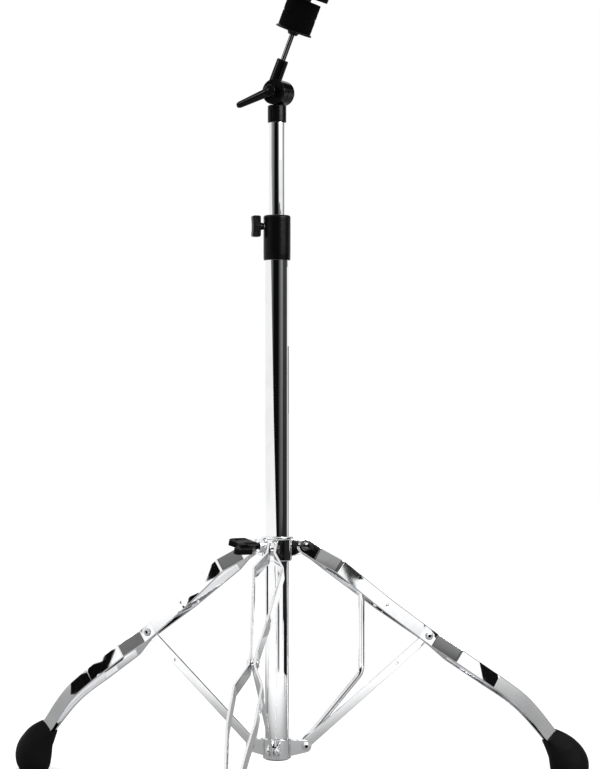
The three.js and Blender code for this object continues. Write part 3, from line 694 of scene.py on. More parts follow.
class Effect(Enum):
    """Surface effects that several finishes share, each one node group."""

    HAIRLINES = "fine_hairlines"
    SMUDGE = "handling_smudge"
    GRAIN = "surface_grain"
    SPECKS = "dust_specks"
    WORN_EDGE = "worn_edge"
    FIBRES = "felted_fibres"

    def group(self) -> bpy.types.NodeTree:
        """The effect's node group, built the first time it is asked for.

        Returns:
            The group.
        """
        known = bpy.data.node_groups.get(self.value)
        if known:
            return known
        pattern = Pattern(bpy.data.node_groups.new(self.value, "ShaderNodeTree"))
        made = getattr(pattern, self.name.lower())()
        value = pattern.math("MULTIPLY", made, pattern.amount)
        pattern.into(pattern.tree.nodes.new("NodeGroupOutput"), {"Value": value})
        return pattern.tree


@dataclass(frozen=True)
class Finish:
    """A finish: a base colour, its gloss, and how much of each shared effect it shows."""

    name: str
    colour: Colour
    second: Colour
    roughness: float
    spread: float
    metallic: float = 0.0
    specular: float = 0.5
    bump: float = 0.00002
    grain_scale: float = 900.0
    smudge_scale: float = 22.0
    hairline_scale: float = 130.0
    hairlines: float = 0.5
    specks: float = 0.3
    wear: float = 0.0
    wear_colour: Colour = (0.35, 0.35, 0.36)
    speck_scale: float = 700.0
    wear_scale: float = 420.0
    line_depth: float = 0.5
    dulling: float = 1.4
    dust_share: float = 0.35
    dust: Colour = (0.42, 0.41, 0.4)

    def material(self) -> bpy.types.Material:
        """The finish as a material, built the first time it is asked for.

        Returns:
            The material.
        """
        known = bpy.data.materials.get(self.name)
        if known:
            return known
        material = bpy.data.materials.new(self.name)
        material.use_nodes = True
        wiring = Wiring(material.node_tree)
        shader = material.node_tree.nodes["Principled BSDF"]
        where = wiring.node("TexCoord").outputs["Object"]
        smudge = wiring.effect(Effect.SMUDGE, where, self.smudge_scale, 1.0)
        lines = wiring.effect(Effect.HAIRLINES, where, self.hairline_scale, self.hairlines)
        specks = wiring.effect(Effect.SPECKS, where, self.speck_scale, self.specks)
        grain = self._grain(wiring, where)
        colour = wiring.blend(smudge, self.colour, self.second)
        faint_lines = wiring.math("MULTIPLY", lines, self.line_depth)
        dull = wiring.math("ADD", faint_lines, specks, True)
        rough = wiring.math("ADD", smudge, wiring.math("MULTIPLY", dull, self.dulling), True)
        if self.wear:
            worn = wiring.effect(Effect.WORN_EDGE, where, self.wear_scale, self.wear)
            colour = wiring.blend(worn, colour, self.wear_colour)
        height = wiring.math("SUBTRACT", grain, faint_lines)
        relief = wiring.node("Bump", {"Height": height, "Strength": 1.0, "Distance": self.bump})
        wiring.into(shader, {
            "Base Color": wiring.blend(wiring.math("MULTIPLY", specks, self.dust_share), colour, self.dust),
            "Roughness": wiring.span(rough, 0.0, 1.0, self.roughness, self.roughness + self.spread),
            "Normal": relief.outputs[0],
            "Metallic": self.metallic,
            "Specular IOR Level": self.specular,
        })
        self.finish_shader(shader)
        material.diffuse_color = (*self.colour, 1.0)
        return material

    def finish_shader(self, shader: bpy.types.Node) -> None:
        """Sets what only this finish has; a plain finish has nothing more."""

    def _grain(self, wiring: Wiring, where: Socket) -> Socket:
        """The height pattern under the gloss."""
        return wiring.effect(Effect.GRAIN, where, self.grain_scale, 1.0)


@dataclass(frozen=True)
class FeltFinish(Finish):
    """Pressed wool felt, with fibres for its grain and a soft sheen."""

    sheen: float = 0.01
    sheen_roughness: float = 0.6
    fibre_scale: float = 1500.0

    def _grain(self, wiring: Wiring, where: Socket) -> Socket:
        """Matted fibres instead of a moulded grain."""
        return wiring.effect(Effect.FIBRES, where, self.fibre_scale, 1.0)

    def finish_shader(self, shader: bpy.types.Node) -> None:
        """Adds the wool's sheen."""
        shader.inputs["Sheen Weight"].default_value = self.sheen
        shader.inputs["Sheen Roughness"].default_value = self.sheen_roughness


class Looks:
    """The stand's finishes, by the record's slots."""

    CHROME = Finish(
        "bright_chrome", (0.87, 0.875, 0.885), (0.8, 0.805, 0.815), 0.012, 0.038, metallic=1.0,
        bump=0.0000012, grain_scale=260.0, hairlines=0.55, specks=0.12,
    )
    STEEL = Finish(
        "plated_steel", (0.38, 0.383, 0.39), (0.28, 0.28, 0.286), 0.04, 0.08, metallic=1.0,
        bump=0.000001, grain_scale=900.0, hairlines=0.8, specks=0.2,
    )
    # Painted shade: a darker copy of the plated steel for the cymbal rod and the hub's pivot rivets, the dark
    # of their reflections painted into their colour
    DARK_STEEL = Finish(
        "plated_steel_painted_shade", (0.1, 0.1, 0.103), (0.07, 0.07, 0.072), 0.06, 0.1, metallic=1.0,
        bump=0.000001, grain_scale=900.0, hairlines=0.5, specks=0.2,
    )
    CASTING = Finish(
        "black_enamel_casting", (0.0016, 0.0016, 0.0018), (0.003, 0.003, 0.0032), 0.1, 0.12, specular=0.1,
        bump=0.000012, grain_scale=520.0, specks=0.1, wear=0.2, wear_colour=(0.03, 0.03, 0.03),
    )
    PLASTIC = Finish(
        "moulded_black_plastic", (0.0016, 0.0016, 0.0018), (0.003, 0.003, 0.0032), 0.28, 0.16, specular=0.1,
        bump=0.00003, grain_scale=1300.0, specks=0.1, wear=0.12, wear_colour=(0.02, 0.02, 0.02),
    )
    RUBBER = Finish(
        "black_rubber", (0.0025, 0.0025, 0.0025), (0.005, 0.0048, 0.0046), 0.6, 0.25, specular=0.1,
        bump=0.00006, grain_scale=700.0, hairlines=0.3, specks=0.25,
    )
    FELT = FeltFinish(
        "pressed_black_felt", (0.0012, 0.0012, 0.0013), (0.0026, 0.0026, 0.0028), 0.92, 0.08, specular=0.02,
        bump=0.00035, hairlines=0.0, specks=0.12,
    )
    # Painted shade: a dark finish for the inside of a rivet's hollow, in place of the shadow there
    RIVET_BORE = Finish(
        "rivet_bore_painted_shade", (0.03, 0.03, 0.031), (0.05, 0.05, 0.05), 0.5, 0.2, metallic=1.0,
        bump=0.00001, grain_scale=1200.0, specks=0.1,
    )
    NYLON = Finish(
        "dark_nylon", (0.02, 0.02, 0.021), (0.03, 0.03, 0.031), 0.42, 0.15, specular=0.4,
        bump=0.00002, grain_scale=1500.0, specks=0.2,
    )
    BY_SLOT = {
        "chrome": CHROME, "plated_steel": STEEL, "black_cast": CASTING, "black_plastic": PLASTIC,
        "rubber": RUBBER, "felt": FELT, "nylon": NYLON,
    }


# Bench and shared sizes


class Bench:
    """Sets finished forms into the row frame, each on its body and in its slot's finish."""

    def __init__(self, loaded: dict[str, Any]) -> None:
        """Reads which body and slot each node has, and where the stand's axis is.

        Args:
            loaded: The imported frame.
        """
        record = loaded["record"]
        self.body = {node: body for body, nodes in record["behaviour"]["bodies"].items() for node in nodes}
        self.slot = {part["node"]: part["material_slot"] for part in record["subparts"]}
        low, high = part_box("upper_tube")
        self.axis = Vector(((low.x + high.x) / 2, (low.y + high.y) / 2, 0.0))

    def fit(
        self, form: Form, node: str, place: Matrix | None = None, crease: float = 32.0,
        look: Finish | None = None,
    ) -> bpy.types.Object:
        """Makes a form the piece that stands for a node.

        Args:
            form: The finished form, used up by the call.
            node: The node that it replaces.
            place: Its place on the stand, in millimetres.
            crease: Edges that turn by more than this stay crisp, in degrees.
            look: Its finish, where the one of its slot isn't meant.

        Returns:
            The piece.
        """
        to_row = Matrix.Translation(self.axis) @ Matrix.Scale(MM, 4)
        form.shape.transform(to_row @ (place or Matrix.Identity(4)))
        mesh = mesh_of(form.shape, f"{node}_form")
        mesh.shade_smooth()
        mesh.set_sharp_from_angle(angle=math.radians(crease))
        mesh.materials.append((look or Looks.BY_SLOT[self.slot[node]]).material())
        # Faces inside a rivet's hollow take the painted shade of its bore
        if any(face.material_index for face in mesh.polygons):
            mesh.materials.append(Looks.RIVET_BORE.material())
        piece = set_out(f"{node}_form", mesh)
        flats = piece.modifiers.new("flat_faces", "WEIGHTED_NORMAL")
        flats.keep_sharp = True
        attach(piece, self.body[node])
        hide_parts(node)
        LOG.info("%s: %d faces on %s", piece.name, len(mesh.polygons), self.body[node])
        return piece


@dataclass(frozen=True)
class Layout:
    """Places and sizes that several sub-assemblies share."""

    base_radius: float = 14.3
    base_bottom: float = 57.3
    base_top: float = 700.5
    upper_radius: float = 9.525
    upper_bottom: float = 258.0
    upper_top: float = 834.0
    wall: float = 1.5
    pivot_radius: float = 35.0
    hub_pivot: float = 309.0
    collar_pivot: float = 68.5
    first_leg: float = 23.0
    strip: float = 3.0
    brace: float = 3.0
    hub_spread: float = 4.5
    nip_spread: float = 3.4
    hole: float = 2.8
    # Room between neighbours that stay together, between ones that move, and under a knob
    play: float = 0.15
    gap: float = 0.3
    knob_room: float = 0.4

    def leg_turn(self, index: int) -> Matrix:
        """The turn of a leg about the axis."""
        return turn_z(self.first_leg + 120 * index)


@dataclass(frozen=True)
class Rivet:
    """Rivets with low domed heads."""

    shank: float = 2.5
    head: float = 5.0
    dome: float = 2.2
    rim: float = 0.8
    sleeve: float = 4.6
    hollow: float = 1.9
    hollow_depth: float = 4.5
    hollow_rim: float = 0.5
    dome_angles: tuple[int, ...] = (15, 30, 45, 60, 75)

    def head_profile(self, start: float, seat: float, hollow: bool = False) -> list[Corner]:
        """The outline from a place on the shank out over one head.

        Args:
            start: The place on the shank.
            seat: The height of the head's underside.
            hollow: Whether the head has a hollow in its middle.

        Returns:
            The outline's radii, heights and corner radii.
        """
        rise = self.dome - self.rim
        dome = [
            (self.head * math.cos(math.radians(a)), seat + self.rim + rise * math.sin(math.radians(a)), 0.0)
            for a in self.dome_angles
        ]
        top = seat + self.dome
        end = [(0.0, top, 0.0)]
        if hollow:
            deep = top - self.hollow_depth
            end = [
                (self.hollow + self.hollow_rim, top - 0.1, 0.2), (self.hollow, top - 0.7, 0.2),
                (self.hollow, deep, 0.3), (0.0, deep, 0.0),
            ]
            dome = [point for point in dome if point[0] > self.hollow + 0.6]
        return [
            (self.shank, start, 0.0), (self.shank, seat, 0.0), (self.head, seat, 0.25),
            (self.head, seat + self.rim, 0.4), *dome, *end,
        ]

    def across(self, seat: float, steps: Sequence[Corner] = (), hollow: bool = False) -> Form:
        """A rivet with a head at each end, and any sleeves between them.

        Args:
            seat: How far the heads' undersides are from the middle.
            steps: The outline of the sleeves.
            hollow: Whether the heads are hollow.

        Returns:
            The rivet.
        """
        upper = self.head_profile(seat - 0.01, seat, hollow)
        lower = [(radius, -height, edge) for radius, height, edge in reversed(upper)]
        form = Form.turned([*lower, *steps, *upper], Lie.ALONG_Y, 32)
        return self._darkened(form) if hollow else form

    def half(self, side: int, start: float, seat: float) -> Form:
        """A headed stub on one side of the leg.

        Args:
            side: 1 for the left side and -1 for the right one.
            start: Where the stub begins.
            seat: Where its head begins.

        Returns:
            The stub.
        """
        form = Form.turned([(0.0, start, 0.0), *self.head_profile(start, seat, True)], Lie.ALONG_Y, 32)
        form = self._darkened(form)
        return form if side > 0 else form.moved(turn_z(180))

    def _darkened(self, form: Form) -> Form:
        """Gives the faces inside a rivet's hollow the second finish, a dark painted shade for the shadow in
        the hollow.

        Args:
            form: The rivet.

        Returns:
            The same rivet.
        """
        for face in form.shape.faces:
            middle = face.calc_center_median()
            if math.hypot(middle.x, middle.z) < self.hollow + 0.05:
                face.material_index = 1
        return form


LAYOUT = Layout()
RIVET = Rivet()


# Studio


@dataclass(frozen=True)
class Card:
    """A curved card that only gloss sees, part of a ring round the stand: a painted reflection, dark or
    glowing, that no lamp or real thing gives.

    Angles are seen from above, 0 behind the camera and positive to its right. Each row of shades
    is a height with the shade at the card's start and at its end.
    """

    start: float
    end: float
    low_start: float
    low_end: float
    high: float
    shades: tuple[Corner, ...]
    power: float = 1.0
    radius: float = 3.0

    @classmethod
    def plain(
        cls, start: float, end: float, low: float, high: float, shade: float, power: float = 1.0,
        radius: float = 3.0,
    ) -> "Card":
        """A card of one shade with a level lower edge.

        Args:
            start: First angle in degrees.
            end: Last angle in degrees.
            low: Its lower edge.
            high: Its upper edge.
            shade: Its shade.
            power: Its strength.
            radius: How far it stands from the axis.

        Returns:
            The card.
        """
        return cls(start, end, low, low, high, ((0.0, shade, shade), (high, shade, shade)), power, radius)


# Heights and shades of the dark cards: black to head height, paler towards the top
EDGE_SHADES = ((0.0, 0.4, 0.26), (1.15, 0.4, 0.26), (1.3, 0.4, 0.3), (1.8, 0.4, 0.35), (2.1, 0.8, 0.8))
LEFT_SHADES = ((0.0, 0.26, 0.004), (1.15, 0.26, 0.004), (1.3, 0.3, 0.15), (1.8, 0.35, 0.3), (2.1, 0.8, 0.8))
FRONT_SHADES = (
    (0.0, 0.004, 0.004), (1.28, 0.004, 0.004), (1.42, 0.36, 0.36), (1.8, 0.42, 0.42), (2.1, 0.8, 0.8),
)
BLACK = 0.004


@dataclass(frozen=True)
class Studio:
    """Camera, floor with a painted shadow that only gloss sees, soft light, and the gloss-only cards that
    paint dark and bright reflections into the chrome and the black parts.
    """

    camera_place: Corner = (0.00375, -2.6199, 0.504)
    lens: float = 105.19
    sensor: float = 36.0
    floor_size: float = 14.0
    floor_shade: float = 0.85
    floor_glow: float = 0.36
    floor_roughness: float = 0.9
    floor_gloss: float = 0.1
    speckle_scale: float = 60.0
    speckle_lift: float = 1.02
    sky: float = 0.8
    lamp_place: Corner = (-0.5, -1.1, 2.9)
    lamp_aim: Corner = (0.0, 0.0, 0.45)
    lamp_size: float = 2.2
    lamp_power: float = 24.0
    # Where the middle of the floor's painted shadow, a grey patch round the stand that only gloss sees, lies
    # behind the stand, its inner and outer reach, and its shade
    pool_back: float = 0.5
    pool: Corner = (0.7, 1.5, 0.4)
    card_spans: int = 16
    # Painted reflections: dark and glowing cards that only gloss sees, the low ones near the stand painting
    # dark patches into its reflections
    cards: tuple[Card, ...] = (
        Card(-90, -60, 1.06, 0.8, 2.4, EDGE_SHADES),
        Card(-60, -32, 0.8, 0.41, 2.4, LEFT_SHADES),
        Card(-32, 0, 0.41, 0.05, 2.4, FRONT_SHADES),
        Card(0, 14, 0.05, 0.02, 2.4, FRONT_SHADES),
        Card(14, 30, 0.01, 0.01, 2.0, (
            (0.06, 0.004, 0.01), (0.16, 0.006, 0.08), (0.95, 0.01, 0.13), (1.05, 0.04, 0.4), (1.3, 0.15, 0.7),
            (1.9, 0.3, 0.8),
        )),
        Card(30, 48, 0.01, 0.01, 0.97, ((0.08, 0.01, 0.004), (0.16, 0.08, 0.12), (0.9, 0.13, 0.3))),
        Card(48, 66, 0.01, 0.01, 0.95, ((0.1, 0.004, 0.004), (0.18, 0.12, 0.1), (0.9, 0.3, 0.2))),
        Card(
            62.6, 118, 0.09, 0.09, 0.77, ((0.0, 0.006, 0.01), (0.12, 0.012, 0.02), (0.7, 0.05, 0.06)),
            radius=1.2,
        ),
        Card(60.55, 61.2, 0.0, 0.03, 0.5, ((0.0, 0.006, 0.006), (0.49, 0.02, 0.02)), radius=1.2),
        Card(61.2, 62.6, 0.05, 0.066, 0.5, ((0.0, 0.006, 0.006), (0.49, 0.02, 0.02)), radius=1.2),
        Card(72, 118, 0.0, 0.0, 0.1, ((0.0, 0.006, 0.01), (0.09, 0.006, 0.01)), radius=1.2),
        Card.plain(84.2, 87.7, 0.06, 0.17, 0.006, radius=0.5),
        Card(5, 24, 0.0, 0.0, 0.12, ((0.0, 0.3, 0.3), (0.11, 0.12, 0.12)), radius=1.2),
        Card.plain(-93.6, -92.55, 0.0, 0.034, BLACK, radius=1.2),
        Card.plain(-92.55, -91.5, 0.0, 0.058, BLACK, radius=1.2),
        Card.plain(-96.6, -95.2, 0.0, 0.06, BLACK, radius=1.0),
        Card.plain(-109, -103, 0.0, 0.04, BLACK, radius=0.8),
        Card.plain(-91, -89.6, 0.08, 0.135, BLACK, radius=1.2),
        Card.plain(-122, -98, 0.11, 0.22, BLACK, radius=1.2),
        Card(128, 166, 0.0, 0.0, 0.6, ((0.0, 0.16, 0.2), (0.59, 0.16, 0.2))),
        Card(92, 127, 0.8, 0.8, 1.5, (
            (0.0, 0.3, 0.3), (1.16, 0.3, 0.3), (1.2, 0.01, 0.01), (1.45, 0.01, 0.01),
        )),
        Card.plain(-76, -62, 1.42, 1.9, 1.0, power=9.0, radius=2.9),
        Card.plain(36, 74, 1.08, 1.175, 1.0, power=1.3),
        Card.plain(36, 74, 1.175, 2.4, 1.0, power=16.0),
        Card.plain(127, 157, 1.25, 3.4, 0.01),
        Card.plain(126, 157, 0.0, 0.45, 0.4, radius=1.5),
    )

    def set_up(self) -> None:
        """Builds the whole studio."""
        scene = bpy.context.scene
        scene.view_settings.view_transform = "Standard"
        self._camera()
        self._world()
        self._floor()
        self._lamp()
        for index, card in enumerate(self.cards):
            self._card(card, index)

    def _camera(self) -> None:
        """A level camera at the photograph's place."""
        data = bpy.data.cameras.new("photo_camera")
        data.lens, data.sensor_width, data.sensor_fit = self.lens, self.sensor, "AUTO"
        camera = set_out("photo_camera", data)
        camera.location = self.camera_place
        camera.rotation_euler = (math.pi / 2, 0.0, 0.0)
        bpy.context.scene.camera = camera

    def _world(self) -> None:
        """White to the eye and to gloss, a little lower as light."""
        world = bpy.data.worlds.new("white_room")
        world.use_nodes = True
        bpy.context.scene.world = world
        wiring = Wiring(world.node_tree)
        wiring.into(world.node_tree.nodes["Background"], {
            "Color": (1.0, 1.0, 1.0),
            "Strength": wiring.span(wiring.shown(), 0.0, 1.0, self.sky, 1.0),
        })

    def _floor(self) -> None:
        """A pale floor that reads white but keeps shadows, with a painted shadow round the stand: a greyer
        patch that only gloss sees.
        """
        shape = bmesh.new()
        bmesh.ops.create_grid(shape, x_segments=4, y_segments=4, size=self.floor_size / 2)
        mesh = mesh_of(shape, "studio_floor")
        material = bpy.data.materials.new("pale_floor")
        material.use_nodes = True
        wiring = Wiring(material.node_tree)
        shader = material.node_tree.nodes["Principled BSDF"]
        where = wiring.node("TexCoord").outputs["Object"]
        speckle = wiring.noise(where, self.speckle_scale, Detail=5.0)
        shade, paler = self.floor_shade, self.floor_shade * self.speckle_lift
        colour = wiring.blend(speckle, (shade, shade, shade), (paler, paler, paler))
        # Painted shadow: near the stand, glossy rays see the floor greyer and without its glow, in place of
        # the stand's shadow in reflections
        near, far, painted_shadow_grey = self.pool
        centre = (0.0, self.pool_back, 0.0)
        reach = wiring.node("VectorMath", {0: where, 1: centre}, operation="DISTANCE").outputs["Value"]
        pool = wiring.span(reach, near, far, 1.0, 0.0)
        pool = wiring.math("MULTIPLY", pool, wiring.node("LightPath").outputs["Is Glossy Ray"])
        glow_share = wiring.math("SUBTRACT", wiring.shown(), pool, True)
        wiring.into(shader, {
            "Base Color": wiring.blend(pool, colour, (painted_shadow_grey, painted_shadow_grey, painted_shadow_grey)),
            "Roughness": self.floor_roughness,
            "Specular IOR Level": self.floor_gloss,
            "Emission Color": (1.0, 1.0, 1.0),
            "Emission Strength": wiring.math("MULTIPLY", glow_share, self.floor_glow),
        })
        mesh.materials.append(material)
        set_out("studio_floor", mesh)

    def _lamp(self) -> None:
        """One wide softbox above and behind the camera's left shoulder."""
        data = bpy.data.lights.new("softbox", "AREA")
        data.shape, data.size, data.energy = "SQUARE", self.lamp_size, self.lamp_power
        lamp = set_out("softbox", data)
        lamp.location = self.lamp_place
        aim = Vector(self.lamp_aim) - Vector(self.lamp_place)
        lamp.rotation_euler = aim.to_track_quat("-Z", "Y").to_euler()
        lamp.visible_glossy = False

    def _card(self, card: Card, index: int) -> None:
        """A curved card on the ring, shaded by height and from its start to its end.

        Args:
            card: Its angles, edges and shades.
            index: Its number, for its name.
        """
        shape = bmesh.new()
        first = math.radians(card.start)
        x, y = card.radius * math.sin(first), -card.radius * math.cos(first)
        ends = [shape.verts.new((x, y, z)) for z in (card.low_start, card.high)]
        bmesh.ops.spin(
            shape, geom=[*ends, shape.edges.new(ends)], cent=(0, 0, 0), axis=(0, 0, 1),
            angle=math.radians(card.end - card.start), steps=self.card_spans,
        )
        for vert in shape.verts:
            if vert.co.z < (card.low_start + card.high) / 2:
                angle = math.degrees(math.atan2(vert.co.x, -vert.co.y))
                vert.co.z = mix(card.low_start, card.low_end, (angle - card.start) / (card.end - card.start))
        glow, wiring = self._panel(shape, f"painted_reflection_card_{index}")
        where = wiring.node("SeparateXYZ", {"Vector": wiring.node("TexCoord").outputs["Object"]}).outputs
        turn = wiring.math("ARCTAN2", where["X"], wiring.math("MULTIPLY", where["Y"], -1.0))
        share = wiring.node("MapRange", {
            "Value": turn, "From Min": math.radians(card.start), "From Max": math.radians(card.end),
        }).outputs[0]
        height = wiring.math("DIVIDE", where["Z"], card.high)
        ends = []
        for side in (1, 2):
            ramp = wiring.node("ValToRGB", {"Fac": height})
            stops = ramp.color_ramp.elements
            for row in card.shades[2:]:
                stops.new(row[0] / card.high)
            for stop, row in zip(stops, card.shades):
                stop.position = row[0] / card.high
                stop.color = (row[side], row[side], row[side], 1.0)
            ends.append(ramp.outputs["Color"])
        wiring.into(glow, {"Color": wiring.blend(share, *ends), "Strength": card.power})

    def _panel(self, shape: bmesh.types.BMesh, name: str) -> tuple[bpy.types.Node, Wiring]:
        """Makes a sheet a glowing panel that only gloss sees.

        Args:
            shape: The sheet, used up by the call.
            name: The panel's name.

        Returns:
            Its emission node and its material's wiring.
        """
        mesh = mesh_of(shape, name)
        material = bpy.data.materials.new(name)
        material.use_nodes = True
        wiring = Wiring(material.node_tree)
        glow = wiring.node("Emission")
        wiring.into(material.node_tree.nodes["Material Output"], {"Surface": glow.outputs[0]})
        mesh.materials.append(material)
        panel = set_out(name, mesh)
        panel.visible_camera = panel.visible_diffuse = False
        panel.visible_shadow = panel.visible_transmission = False
        return glow, wiring


# Sub-assemblies


@dataclass
class LowerTube:
    """The base tube with its end plug and the riveted collar that carries the braces."""

    collar_low: float = 56.0
    collar_high: float = 80.0
    collar_inner: float = 14.6
    collar_outer: float = 16.9
    plate: float = 2.2
    plate_gap: float = 8.4
    plate_foot: float = 20.0
    ear_radius: float = 7.5
    plug_rim: float = 2.7
    plug_length: float = 14.0
    plug_dish: float = 0.9
    plug_face: Pair = (8.6, 10.2)
    ear_sweep: float = 82.0
    ear_rim: float = 0.35
    stay_room: float = 1.9
    names: tuple[str, ...] = ("right", "left", "front")

    def build(self, bench: Bench) -> None:
        """Builds and sets the tube, plug, collar and collar rivets.

        Args:
            bench: The bench that sets them.
        """
        lay = LAYOUT
        inner, rims = lay.base_radius - lay.wall, (0.4, 0.5, 0.5, 0.4)
        tube = Form.tube(inner, lay.base_radius, lay.base_bottom, lay.base_top, rims, 128)
        bench.fit(tube, "base_tube")
        bench.fit(self._plug(), "base_tube_end_plug")
        bench.fit(self._collar(), "bottom_collar")
        for index, name in enumerate(self.names):
            place = lay.leg_turn(index) @ shift(lay.pivot_radius, 0, lay.collar_pivot)
            bench.fit(self._rivet(index == 0), f"{name}_collar_rivet", place)

    def _plug(self) -> Form:
        """A pushed-in plug with a dished face.

        Returns:
            The plug.
        """
        lay = LAYOUT
        top = lay.base_bottom - lay.play
        low = top - self.plug_rim
        inside = lay.base_radius - lay.wall - lay.play
        dish, face = self.plug_face
        return Form.turned([
            (0.0, low + self.plug_dish, 0.0), (dish, low + self.plug_dish, 1.2), (face, low, 0.5),
            (lay.base_radius, low, 1.0), (lay.base_radius, top, 0.2), (inside, top, 0.0),
            (inside, top + self.plug_length, 0.6), (0.0, top + self.plug_length, 0.0),
        ], steps=96)

    def _collar(self) -> Form:
        """A sleeve with three pairs of ears.

        Returns:
            The collar.
        """
        lay = LAYOUT
        rims = (0.2, 0.6, 0.6, 0.2)
        sleeve = Form.tube(self.collar_inner, self.collar_outer, self.collar_low, self.collar_high, rims, 112)
        start = self.collar_inner + lay.gap
        low = (self.collar_low + self.collar_high - self.plate_foot) / 2
        outline = [
            (start, low),
            *arc((lay.pivot_radius, lay.collar_pivot), self.ear_radius, -self.ear_sweep, self.ear_sweep, 20),
            (start, low + self.plate_foot),
        ]
        ears = []
        hole = (lay.pivot_radius, lay.collar_pivot, lay.hole)
        for index in range(3):
            for side in (1, -1):
                ear = Form.plate(outline, self.plate, self.ear_rim, [hole])
                offset = side * (self.plate_gap + self.plate) / 2
                ears.append(ear.moved(lay.leg_turn(index) @ shift(0, offset, 0)))
        bore = Form.rod(self.collar_inner, self.collar_low - 2, self.collar_high + 2)
        return sleeve.joined(*ears).carved(bore)

    def _rivet(self, has_stay: bool) -> Form:
        """The rivet across a pair of ears, with a sleeve on each side that has no stay.

        Args:
            has_stay: Whether the stay bar is on this rivet.

        Returns:
            The rivet.
        """
        play = LAYOUT.play
        seat = self.plate_gap / 2 + self.plate + play
        near, far = self.stay_room, self.plate_gap / 2 - play
        shank, sleeve = RIVET.shank, RIVET.sleeve

        def step(low: float, high: float) -> list[Corner]:
            """A sleeve between two places on the shank."""
            return [(shank, low, 0.0), (sleeve, low, 0.2), (sleeve, high, 0.2), (shank, high, 0.0)]

        return RIVET.across(seat, [*step(-far, -near), *([] if has_stay else step(near, far))], True)


@dataclass
class WingKnob:
    """A wing screw: a steel shank in a moulded wing, laid along the direction it screws."""

    name: str
    outline: list[Pair]
    height: float
    turn: float
    roll: float
    tip: float
    neck_from: float
    neck_to: float
    neck: float
    bite: float
    thickness: float
    rim: float
    dish: float
    shank: float = 3.0
    shank_hole: float = 3.3
    neck_foot: float = 3.9
    # A hollow's share of the wing's length and of its reach, where its middle is, and its corners
    hollow_shares: Pair = (0.5, 0.42)
    hollow_place: float = 0.62
    hollow_corner: float = 0.3

    def build(self, bench: Bench) -> None:
        """Builds and sets the screw and its wing.

        Args:
            bench: The bench that sets them.
        """
        rolled = Matrix.Rotation(math.radians(self.roll), 4, "X")
        place = shift(0, 0, self.height) @ turn_z(self.turn) @ rolled
        grip = self.neck_to + self.bite / 2
        screw = Form.rod(self.shank, self.tip, grip, Lie.ALONG_X, 0.3)
        bench.fit(screw, f"{self.name}_screw", place)
        wing = Form.plate(self.outline, self.thickness, self.rim)
        end = self.neck_to + self.bite
        neck = Form.turned([
            (0.0, self.neck_from, 0.0), (self.neck_foot, self.neck_from, 0.5), (self.neck, self.neck_to, 1.5),
            (self.neck, end, 1.8), (0.0, end, 0.0),
        ], Lie.ALONG_X, 48)
        bore = Form.rod(self.shank_hole, self.neck_from - 2, grip + LAYOUT.gap, Lie.ALONG_X)
        wing = wing.joined(neck).carved(bore, *self._hollows())
        bench.fit(wing, f"{self.name}_knob", place)

    def _hollows(self) -> list[Form]:
        """The four shallow hollows in the wing's faces.

        Returns:
            The hollows, as forms to cut away.
        """
        low, high = min(x for x, _ in self.outline), max(x for x, _ in self.outline)
        reach = max(z for _, z in self.outline)
        size = ((high - low) * self.hollow_shares[0], self.dish * 2, reach * self.hollow_shares[1])
        hollows = []
        for side in (1, -1):
            for face in (1, -1):
                middle = ((low + high) / 2, face * self.thickness / 2, side * reach * self.hollow_place)
                hollows.append(Form.block(size, middle, min(size[0], size[2]) * self.hollow_corner))
        return hollows


